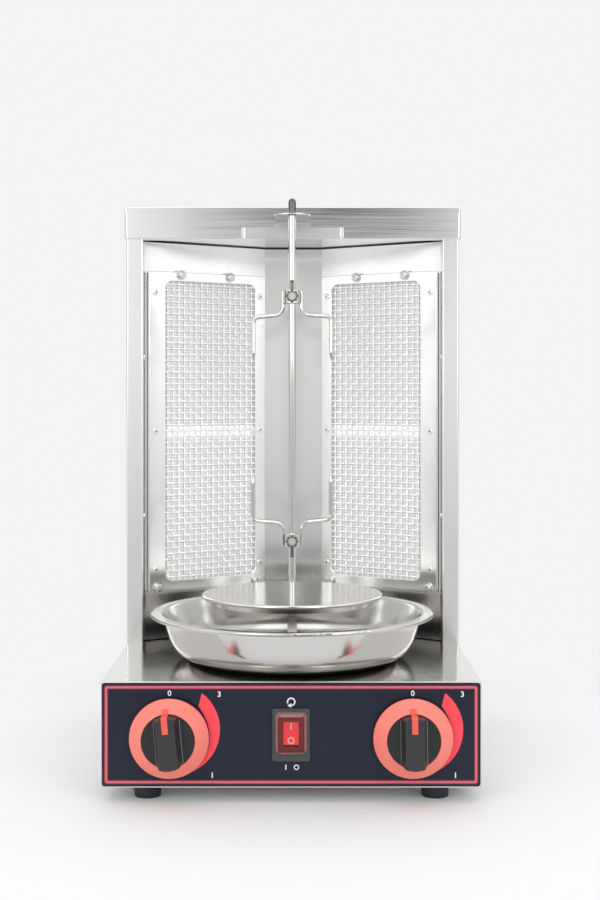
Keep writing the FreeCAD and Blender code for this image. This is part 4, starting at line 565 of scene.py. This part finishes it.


# %% [markdown]
# ## Woven screens
#
# Each burner has a plain-weave wire screen. In a plain weave each wire passes over one
# crossing wire and under the next, so its height is a sine wave with one half period per
# crossing, and neighbouring wires are half a period apart. Every wire is a six-sided tube
# on that wave. The wires run on behind the lip of the frame, so no cut end shows. The low
# parts of the wires are painted dark as painted shade under the crossings and the crowns painted
# bright, so each point also carries its height above the wall, in millimetres. A faint emission,
# a painted glow, keeps the weave from going grey.

# %% Weave
OPENING_ALONG = (20.3, 126.2)
OPENING_UP = (165.5, 469.6)
PITCH_ALONG, PITCH_UP = 6.47, 5.93
WIRE_RADIUS = 0.92
WEAVE_RISE = 0.8
WEAVE_CENTRE = 1.85
WIRE_OVERRUN = 1.9
WIRE_GLOW = 0.1
PAINTED_SHADE_LOW_WIRE, PAINTED_LIGHT_CROWN_WIRE = 1.3, 2.1

wire_steel, wire_shader = new_finish("woven stainless wire", "#ffffff", 0.45, 0.26)
wire_noise = add_node(wire_steel, "ShaderNodeTexNoise", None,
                      {"Vector": object_coordinates(wire_steel), "Scale": 1 / (3 * MM),
                       "Detail": 2.0})
wire_rough = add_node(wire_steel, "ShaderNodeMapRange", None,
                      {"Value": wire_noise.outputs["Fac"], "To Min": 0.18, "To Max": 0.36})
link(wire_steel, wire_rough.outputs["Result"], wire_shader, "Roughness")
# Painted shade on the low parts of the wires, painted light on their crowns.
wire_height = add_node(wire_steel, "ShaderNodeAttribute", {"attribute_name": "height"})
wire_painted_light_mask = add_node(wire_steel, "ShaderNodeMapRange", {"interpolation_type": "SMOOTHSTEP"},
                      {"Value": wire_height.outputs["Fac"], "From Min": PAINTED_SHADE_LOW_WIRE,
                       "From Max": PAINTED_LIGHT_CROWN_WIRE})
wire_painted_shade_tone = add_node(wire_steel, "ShaderNodeMix", {"data_type": "RGBA"},
                     {"Factor": wire_painted_light_mask.outputs["Result"], 6: paint("#94928f"),
                      7: paint("#ffffff")})
link(wire_steel, wire_painted_shade_tone.outputs[2], wire_shader, "Base Color")
link(wire_steel, wire_painted_shade_tone.outputs[2], wire_shader, "Emission Color")
wire_shader.inputs["Emission Strength"].default_value = WIRE_GLOW


def wire_family(first_edges, second_edges, count, crossings, sign, side, upright, base):
    """Tubes of one direction of the weave, all in one array.

    height(t) = centre + sign * (-1)^wire * rise * sin(pi * crossing), with six points
    round the wire at each of four steps per crossing.
    """
    steps = np.arange(4 * crossings + 5) / 4.0 - 0.5
    wires = np.arange(count)[:, None]
    pitch_along = (second_edges[1] - second_edges[0]) / crossings
    travel = np.clip(second_edges[0] + steps * pitch_along, second_edges[0] - WIRE_OVERRUN,
                     second_edges[1] + WIRE_OVERRUN)[None, :] + 0 * wires
    pitch_across = (first_edges[1] - first_edges[0]) / count
    place = first_edges[0] + (wires + 0.5) * pitch_across + 0 * travel
    height = WEAVE_CENTRE + sign * np.where(wires % 2, -1, 1) * WEAVE_RISE * np.sin(
        np.pi * (travel - second_edges[0]) / pitch_along)
    angle = np.arange(6) / 6 * 2 * np.pi
    across = place[..., None] + WIRE_RADIUS * np.cos(angle)
    out = height[..., None] + WIRE_RADIUS * np.sin(angle)
    run = travel[..., None] + 0 * across
    if upright:
        points = on_wall(across, out, run, side)
    else:
        points = on_wall(run, out, across, side)
    one = grid_faces(points.shape[1], 6, True)
    per_wire = points.shape[1] * 6
    faces = (one[None] + (np.arange(count) * per_wire)[:, None, None]).reshape(-1, 4)
    if (side == "right") == upright:
        faces = faces[:, ::-1]
    return points.reshape(-1, 3), faces + base, out.ravel()


for side in ("left", "right"):
    columns = round((OPENING_ALONG[1] - OPENING_ALONG[0]) / PITCH_ALONG)
    rows = round((OPENING_UP[1] - OPENING_UP[0]) / PITCH_UP)
    warp, warp_faces, warp_height = wire_family(OPENING_ALONG, OPENING_UP, columns, rows, 1,
                                                side, True, 0)
    weft, weft_faces, weft_height = wire_family(OPENING_UP, OPENING_ALONG, rows, columns, -1,
                                                side, False, len(warp))
    screen = mesh_from("woven_screen_" + side, np.concatenate([warp, weft]),
                       np.concatenate([warp_faces, weft_faces]))
    heights = screen.data.attributes.new("height", "FLOAT", "POINT")
    heights.data.foreach_set("value", np.concatenate([warp_height, weft_height]))
    finish_piece(screen, wire_steel, "frame")
    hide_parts("burner_mesh_" + side)

# %% [markdown]
# ## Printing on the panel
#
# The film is screen printed: a coral line runs round the edge, a red crescent grows
# beside each knob to show the flame, and small white marks say the rest. A print has no
# thickness to speak of, so each mark is a flat ribbon about a tenth of a millimetre in
# front of the film.

# %% Inks
film_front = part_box("panel_overlay")[0].y
INK_LIFT = 0.08


def ink(name, colour, roughness=0.4):
    material, shader = new_finish(name, colour, 0.0, roughness)
    mottle = add_node(material, "ShaderNodeTexNoise", None,
                      {"Vector": object_coordinates(material), "Scale": 1 / (0.4 * MM)})
    height = add_node(material, "ShaderNodeBump", None,
                      {"Height": mottle.outputs["Fac"], "Strength": 0.08,
                       "Distance": 0.02 * MM})
    link(material, height.outputs["Normal"], shader, "Normal")
    return material


coral_ink = ink("coral screen ink", "#dd5f70")
maroon_ink = ink("maroon screen ink", "#55202f")
red_ink = ink("red screen ink", "#ff4753")
white_ink = ink("white screen ink", "#f3f3f5")


def ribbon(name, inner, outer, closed, material, front=None, body="frame"):
    """A flat ribbon between two lines of (x, z) points in millimetres, facing the front."""
    lines = np.stack([np.asarray(inner, float), np.asarray(outer, float)])
    plane = film_front - INK_LIFT * MM if front is None else front
    points = np.stack([lines[..., 0] * MM, np.full(lines.shape[:2], plane),
                       lines[..., 1] * MM], axis=-1)
    piece = mesh_from(name, points, grid_faces(2, lines.shape[1], closed), False)
    if piece.data.polygons[0].normal.y > 0:
        piece.data.flip_normals()
    return finish_piece(piece, material, body)


def rounded_outline(half_width, low, high, radius, steps=6):
    """Points round a rectangle whose corners are quarter circles, starting at the top right."""
    quarter = np.linspace(0, np.pi / 2, steps)
    corners = ((half_width - radius, high - radius, 0), (-half_width + radius, high - radius, 1),
               (-half_width + radius, low + radius, 2), (half_width - radius, low + radius, 3))
    return np.concatenate([np.stack([cx + radius * np.cos(quarter + turn * np.pi / 2),
                                     cz + radius * np.sin(quarter + turn * np.pi / 2)], axis=-1)
                           for cx, cz, turn in corners])


# %% Border line
film_low, film_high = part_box("panel_overlay")
BORDER_INSET, BORDER_WIDTH, SHADOW_MARGIN = 2.75, 2.1, 0.95
half = film_high.x / MM - BORDER_INSET
low, high = film_low.z / MM + BORDER_INSET, film_high.z / MM - BORDER_INSET
for name, margin, front, colour in (("printed_border_edge", SHADOW_MARGIN, 0.05, maroon_ink),
                                    ("printed_border", 0.0, 0.1, coral_ink)):
    inside = BORDER_WIDTH + margin
    ribbon(name, rounded_outline(half - inside, low + inside, high - inside, 0.8),
           rounded_outline(half + margin, low - margin, high + margin, 2.0), True, colour,
           film_front - front * MM)

# %% [markdown]
# The crescent follows the knob's skirt inside and swells outside, widest at the right.
# Its outer edge is an arc through three measured points, and both ends meet the skirt.

# %% Crescents
def circle_through(a, b, c):
    """Centre and radius of the circle through three points, from the perpendicular bisectors."""
    system = 2 * np.array([[b[0] - a[0], b[1] - a[1]], [c[0] - b[0], c[1] - b[1]]])
    right = np.array([b[0] ** 2 + b[1] ** 2 - a[0] ** 2 - a[1] ** 2,
                      c[0] ** 2 + c[1] ** 2 - b[0] ** 2 - b[1] ** 2])
    centre = np.linalg.solve(system, right)
    return centre, float(np.hypot(*(centre - np.array(a))))


SKIRT_CLEAR, TIP_EASE, EASE_FROM, TIP_TURN = 34.7, 2.1, 10, 47


def crescent(name, knob_x, knob_z):
    """Between the arc and the skirt's circle, which opens by TIP_EASE * share^2 to the tip."""
    tip, widest, foot = (27.9, 38.4), (43.6, 9.5), (14.5, -31.5)
    centre, radius = circle_through(tip, widest, foot)
    start = math.atan2(tip[1] - centre[1], tip[0] - centre[0])
    end = math.atan2(foot[1] - centre[1], foot[0] - centre[0])
    angles = np.linspace(start, end, 40)
    outer = np.stack([centre[0] + radius * np.cos(angles), centre[1] + radius * np.sin(angles)],
                     axis=-1)
    inner_angles = np.linspace(math.radians(TIP_TURN), math.atan2(foot[1], foot[0]), 40)
    share = np.clip((np.degrees(inner_angles) - EASE_FROM) / (TIP_TURN - EASE_FROM), 0, 1)
    inner_radius = SKIRT_CLEAR + TIP_EASE * share ** 2
    inner = inner_radius[:, None] * np.stack([np.cos(inner_angles), np.sin(inner_angles)], axis=-1)
    shift = np.array([knob_x, knob_z])
    return ribbon(name, inner + shift, outer + shift, False, red_ink)


KNOB_X, KNOB_Z = 105.3, 57.5
crescent("printed_crescent_left", -KNOB_X, KNOB_Z)
crescent("printed_crescent_right", KNOB_X, KNOB_Z)

# %% [markdown]
# Plain generic marks stand where words would be: 0 over each knob, 3 and 1 at the two
# ends of each crescent, a turning arrow over the switch and a small pair of marks below.

# %% Numbers and arrow
def number(name, text, x, z, height):
    """A digit in the built-in font, made a mesh and then stood up on the panel."""
    curve = bpy.data.curves.new(name, "FONT")
    curve.body = text
    curve.size = height / 0.72 * MM
    curve.align_x, curve.align_y = "CENTER", "CENTER"
    curve.offset = 0.12 * MM
    curve.resolution_u = 4
    words = bpy.data.objects.new(name + "_curve", curve)
    bpy.context.scene.collection.objects.link(words)
    bpy.context.view_layer.update()
    mesh = bpy.data.meshes.new_from_object(words)
    bpy.data.objects.remove(words)
    flat = np.zeros(len(mesh.vertices) * 3)
    mesh.vertices.foreach_get("co", flat)
    flat = flat.reshape(-1, 3)
    stood = np.stack([flat[:, 0] + x * MM, np.full(len(flat), film_front - INK_LIFT * MM),
                      flat[:, 1] + z * MM], axis=-1)
    mesh.vertices.foreach_set("co", stood.ravel())
    mesh.update()
    if mesh.polygons[0].normal.y > 0:
        mesh.flip_normals()
    piece = bpy.data.objects.new(name, mesh)
    bpy.context.scene.collection.objects.link(piece)
    return finish_piece(piece, white_ink, "frame")


for side, x in (("left", -KNOB_X), ("right", KNOB_X)):
    number("printed_off_" + side, "0", x, 95.4, 4.8)
    number("printed_high_" + side, "3", x + 43.0, 94.6, 4.8)
    number("printed_low_" + side, "1", x + 37.0, 24.4, 4.8)

turn = np.radians(np.linspace(205, -95, 40))
arc = np.stack([np.cos(turn), np.sin(turn)], axis=-1)
arrow_centre = np.array([0.0, 88.2])
ribbon("printed_turn_arc", arrow_centre + 2.6 * arc, arrow_centre + 3.7 * arc, False, white_ink)
tip_angle = np.radians(-95)
tip_base = arrow_centre + 3.15 * np.array([math.cos(tip_angle), math.sin(tip_angle)])
ribbon("printed_turn_tip", [tip_base + (0.4, 2.0), tip_base + (-3.0, 0.0)],
       [tip_base + (0.4, -2.0), tip_base + (-3.0, -0.05)], False, white_ink)
ribbon("printed_on_bar", [(-5.1, 29.4), (-5.1, 33.8)], [(-4.1, 29.4), (-4.1, 33.8)],
       False, white_ink)
circle = np.linspace(0, 2 * np.pi, 28, endpoint=False)
ring = np.stack([np.cos(circle), np.sin(circle)], axis=-1)
off_centre = np.array([4.6, 31.6])
ribbon("printed_off_ring", off_centre + 1.5 * ring, off_centre + 2.3 * ring, True, white_ink)

# %% [markdown]
# ## Marks on the rocker
#
# The rocker carries the usual line and circle, moulded in white. They are set on its two
# slanted faces, so the marks are drawn on the untilted rocker and turned with it.

# %% Rocker marks
ROCKER_PIVOT = (3.0, 60.6)
ROCKER_FACE, ROCKER_TILT = 5.4, math.radians(9.0)


def on_rocker(points):
    """(x, z) on the rocker's face; y = -(face + |z| tan tilt), then turned by the tilt."""
    points = np.asarray(points, float)
    x, z = points[..., 0], points[..., 1]
    y = -(ROCKER_FACE + 0.07 + np.abs(z) * math.tan(ROCKER_TILT))
    turned_y = y * math.cos(-ROCKER_TILT) - z * math.sin(-ROCKER_TILT)
    turned_z = y * math.sin(-ROCKER_TILT) + z * math.cos(-ROCKER_TILT)
    return np.stack([x * MM, base_front + (ROCKER_PIVOT[0] + turned_y) * MM,
                     (ROCKER_PIVOT[1] + turned_z) * MM], axis=-1)


def rocker_mark(name, inner, outer, closed):
    points = on_rocker(np.stack([np.asarray(inner, float), np.asarray(outer, float)]))
    piece = mesh_from(name, points, grid_faces(2, points.shape[1], closed), False)
    if piece.data.polygons[0].normal.y > 0:
        piece.data.flip_normals()
    return finish_piece(piece, white_ink, "rocker")


rocker_mark("rocker_line", [(-0.7, 3.0), (-0.7, 8.6)], [(0.7, 3.0), (0.7, 8.6)], False)
rocker_mark("rocker_circle", (0, -6.1) + 1.8 * ring, (0, -6.1) + 3.1 * ring, True)

# %% [markdown]
# Under the clear cover lies a dark red gasket round the rocker, as wide as the cover.

# %% Gasket under the cover
bezel_front = behind_front(-2.6)
gasket_red = moulded("dark red gasket", "#6d151b", 0.35, bump=0.1)
ribbon("switch_gasket", rounded_outline(6.9, ROCKER_PIVOT[1] - 10.9, ROCKER_PIVOT[1] + 10.9, 0.5),
       rounded_outline(12.9, BOOT_CENTRE_UP - 17.1, BOOT_CENTRE_UP + 17.1, 4.0), True, gasket_red,
       bezel_front - 0.1 * MM)

# %% [markdown]
# ## Painted highlight lines on the knobs
#
# Where the bar of a knob meets its dial, a thin pale ribbon is a painted highlight along the
# foot of the bar. The lines run beside the bar, turned with the lean of each knob about its axis.

# %% Knob lines
DIAL_REACH, BAR_FOOT, LINE_ENDS, LINE_LIFT = 16.5, 11.35, (-19.3, 18.2), 0.06
# A painted highlight along the foot of each knob's bar.
painted_edge_highlight = moulded("painted highlight on phenolic edge", "#8d9090", 0.35, bump=0.05)
for side, x, lean in (("left", -KNOB_X, 5.5), ("right", KNOB_X, 1.0)):
    turn = math.radians(-lean)
    for end, offset, width in (("near", BAR_FOOT, 0.55), ("far", -BAR_FOOT, 0.3)):
        across = np.array([[offset - width / 2] * 2, [offset + width / 2] * 2])
        upward = np.array([LINE_ENDS, LINE_ENDS])
        lines = np.stack([x + across * math.cos(turn) + upward * math.sin(turn),
                          KNOB_Z - across * math.sin(turn) + upward * math.cos(turn)], axis=-1)
        ribbon("knob_highlight_line_" + side + "_" + end, lines[0], lines[1], False, painted_edge_highlight,
               behind_front(-DIAL_REACH - LINE_LIFT), side + "_knob")

# %% [markdown]
# ## Shade in the rivet holes
#
# The hollow in the head of each pop rivet, where the broken mandrel sits, gets a near-black
# disc: painted shade in the hole. Each is a small disc of twelve corners just below the rim of the
# hole.

# %% Mandrels
MANDREL_RADIUS, MANDREL_OUT = 0.88, 5.8
MANDREL_CORNERS, POST_FACE_INSET = 12, 0.8
RIVETS_ALONG, RIVETS_UP = (9.0, 131.8), (177.2, 317.0, 457.3)
POST_RIVET_DEPTH, POST_RIVETS_UP = 195.0, (233.0, 391.5)
# Near-black discs: painted shade in the rivet holes.
mandrel_painted_shade, mandrel_shader = new_finish("painted shade in rivet hole", "#161617", 0.3, 0.6)
mandrel_noise = add_node(mandrel_painted_shade, "ShaderNodeTexNoise", None,
                         {"Vector": object_coordinates(mandrel_painted_shade), "Scale": 1 / (0.3 * MM)})
mandrel_bump = add_node(mandrel_painted_shade, "ShaderNodeBump", None,
                        {"Height": mandrel_noise.outputs["Fac"], "Strength": 0.4,
                         "Distance": 0.05 * MM})
link(mandrel_painted_shade, mandrel_bump.outputs["Normal"], mandrel_shader, "Normal")

around = np.arange(MANDREL_CORNERS) / MANDREL_CORNERS * 2 * np.pi
for side in ("left", "right"):
    sign = -1 if side == "left" else 1
    discs = [on_wall(along + MANDREL_RADIUS * np.cos(around), MANDREL_OUT,
                     up + MANDREL_RADIUS * np.sin(around), side)
             for along in RIVETS_ALONG for up in RIVETS_UP]
    inner_face = sign * (WALL_CORNER[0] - POST_FACE_INSET) * MM
    depths = behind_front(POST_RIVET_DEPTH) + MANDREL_RADIUS * MM * np.cos(around)
    for up in POST_RIVETS_UP:
        discs.append(np.stack([np.full(MANDREL_CORNERS, inner_face), depths,
                               (up + MANDREL_RADIUS * np.sin(around)) * MM], axis=-1))
    faces = np.arange(MANDREL_CORNERS * len(discs)).reshape(-1, MANDREL_CORNERS)
    if side == "right":
        faces = faces[:, ::-1]
    mandrels = mesh_from("rivet_mandrels_" + side, np.concatenate(discs), faces, False)
    finish_piece(mandrels, mandrel_painted_shade, "frame")

# %% [markdown]
# ## Studio
#
# White goods are photographed in a white tent: one large soft light above, one from each
# side, a weak strip far out on each side and a pale floor. Stainless steel shows whatever
# stands around it, so the room it reflects matters as much as the lamps. The camera, and
# what is seen through clear plastic, gets a plain pale grey. All else sees one room, by
# direction: it brightens with height and to the sides, and is a little dimmer straight
# ahead. A dark curtain hangs low behind the grill, left and right. A dark patch hangs above
# and behind the camera, which the flat hood shows as its darker middle. The floor board
# fades out at its edge, so floor and background run into each other.

# %% Floor
FLOOR_SOLID, FLOOR_GONE = 0.32, 0.8
floor_material, floor_shader = new_finish("matt white board", "#f2f3f4", 0.0, 0.9)
board_point = object_coordinates(floor_material)
board_noise = add_node(floor_material, "ShaderNodeTexNoise", None,
                       {"Vector": board_point, "Scale": 1 / (4 * MM)})
board_bump = add_node(floor_material, "ShaderNodeBump", None,
                      {"Height": board_noise.outputs["Fac"], "Strength": 0.05,
                       "Distance": 0.1 * MM})
link(floor_material, board_bump.outputs["Normal"], floor_shader, "Normal")
board_reach = add_node(floor_material, "ShaderNodeVectorMath", {"operation": "LENGTH"},
                       {0: board_point})
board_fade = add_node(floor_material, "ShaderNodeMapRange", {"interpolation_type": "SMOOTHSTEP"},
                      {"Value": board_reach.outputs["Value"], "From Min": FLOOR_SOLID,
                       "From Max": FLOOR_GONE})
board_clear = add_node(floor_material, "ShaderNodeBsdfTransparent")
board_mix = add_node(floor_material, "ShaderNodeMixShader", None,
                     {0: board_fade.outputs["Result"], 1: floor_shader.outputs["BSDF"],
                      2: board_clear.outputs["BSDF"]})
floor_output = floor_material.node_tree.nodes["Material Output"]
floor_material.node_tree.links.new(board_mix.outputs["Shader"], floor_output.inputs["Surface"])
edge = np.linspace(-FLOOR_GONE, FLOOR_GONE, 2)
floor_points = np.stack(np.meshgrid(edge, edge, [0.0], indexing="ij"), axis=-1)
floor = mesh_from("floor", floor_points, [(0, 2, 3, 1)], False)
floor.data.materials.append(floor_material)

# %% World
ROOM_MIDDLE, CURTAIN_LEVEL = 0.018, 0.06
SMOOTH = {"interpolation_type": "SMOOTHSTEP"}
world = bpy.data.worlds.new("studio")
bpy.context.scene.world = world
world.use_nodes = True
world.node_tree.nodes.clear()
path = add_node(world, "ShaderNodeLightPath")
seen = add_node(world, "ShaderNodeMath", {"operation": "MAXIMUM"},
                {0: path.outputs["Is Camera Ray"], 1: path.outputs["Is Transmission Ray"]})
pale = add_node(world, "ShaderNodeBackground", None, {"Color": paint("#f3f3f3"), "Strength": 1.0})
direction = add_node(world, "ShaderNodeSeparateXYZ", None,
                     {0: add_node(world, "ShaderNodeTexCoord").outputs["Generated"]})
off_middle = add_node(world, "ShaderNodeMath", {"operation": "SUBTRACT"},
                      {0: direction.outputs["X"], 1: ROOM_MIDDLE})
sideways = add_node(world, "ShaderNodeMath", {"operation": "ABSOLUTE"},
                    {0: off_middle.outputs[0]}).outputs[0]
forward, rise = direction.outputs["Y"], direction.outputs["Z"]

# Each row: name, what it reads, how it blends, then from low, from high, to low, to high.
tone = {}
for name, source, blend, span in (
        ("climb", rise, None, (-0.15, 0.07, 0.48, 1.0)),
        ("lift", sideways, None, (0.2, 0.9, 0.0, 0.85)),
        ("front_dim", sideways, SMOOTH, (0.02, 0.11, 0.88, 1.0)),
        ("rear_side", forward, SMOOTH, (-0.05, 0.3, 0.0, 1.0)),
        ("rear_low", rise, SMOOTH, (0.24, 0.17, 0.0, 1.0)),
        ("rear_horizon", rise, SMOOTH, (-0.12, 0.02, 0.0, 1.0)),
        ("rear_edges", sideways, SMOOTH, (0.22, 0.4, 0.0, 1.0)),
        ("beside", sideways, SMOOTH, (0.05, 0.135, 0.0, 1.0)),
        ("behind", forward, None, (-0.6, -0.5, 0.0, 1.0)),
        ("below", rise, SMOOTH, (0.102, 0.084, 0.0, 1.0))):
    tone[name] = add_node(world, "ShaderNodeMapRange", blend,
                          {"Value": source, "From Min": span[0], "From Max": span[1],
                           "To Min": span[2], "To Max": span[3]}).outputs["Result"]
for name, operation, first, second in (
        ("level", "MAXIMUM", "climb", "lift"),
        ("front_level", "MULTIPLY", "level", "front_dim"),
        ("rear_band", "MULTIPLY", "rear_low", "rear_horizon"),
        ("rear_wings", "MULTIPLY", "rear_side", "rear_edges"),
        ("rear_curtain", "MULTIPLY", "rear_wings", "rear_band"),
        ("aside", "MAXIMUM", "beside", "behind"),
        ("open_room", "MAXIMUM", "aside", "below")):
    tone[name] = add_node(world, "ShaderNodeMath", {"operation": operation},
                          {0: tone[first], 1: tone[second]}).outputs[0]
rear_dim = add_node(world, "ShaderNodeMapRange", None,
                    {"Value": tone["rear_curtain"], "To Min": 1.0, "To Max": CURTAIN_LEVEL})
strength = add_node(world, "ShaderNodeMath", {"operation": "MULTIPLY"},
                    {0: tone["front_level"], 1: rear_dim.outputs["Result"]})
room_tone = add_node(world, "ShaderNodeMix", {"data_type": "RGBA"},
                     {"Factor": tone["open_room"], 6: paint("#050505"), 7: paint("#ffffff")})
room = add_node(world, "ShaderNodeBackground", None,
                {"Color": room_tone.outputs[2], "Strength": strength.outputs[0]})
mixed = add_node(world, "ShaderNodeMixShader", None,
                 {0: seen.outputs[0], 1: room.outputs[0], 2: pale.outputs[0]})
add_node(world, "ShaderNodeOutputWorld", None, {"Surface": mixed.outputs[0]})


# %% Lamps
def soft_light(name, place, target, width, height, power):
    """A rectangular soft light that faces a target point, all in metres."""
    data = bpy.data.lights.new(name, "AREA")
    data.shape = "RECTANGLE"
    data.size, data.size_y = width, height
    data.energy = power
    lamp = bpy.data.objects.new(name, data)
    lamp.location = place
    direction = np.array(target, float) - np.array(place, float)
    flat = math.hypot(direction[0], direction[1])
    lamp.rotation_euler = (math.atan2(flat, -direction[2]), 0,
                           math.atan2(-direction[0], direction[1]))
    bpy.context.scene.collection.objects.link(lamp)
    print(name, power, "W")
    return lamp


soft_light("top_light", (0.0, -0.9, 2.2), (0, 0, 0.2), 2.0, 1.4, 5.0)
soft_light("left_light", (-1.3, -2.1, 1.0), (0, 0, 0.3), 1.0, 1.2, 8.0)
soft_light("right_light", (1.3, -2.1, 1.0), (0, 0, 0.3), 1.0, 1.2, 8.0)
soft_light("left_strip", (-2.2, -1.0, 0.75), (0, 0, 0.35), 0.8, 0.9, 0.5)
soft_light("right_strip", (2.2, -1.0, 0.75), (0, 0, 0.35), 0.8, 0.9, 0.5)
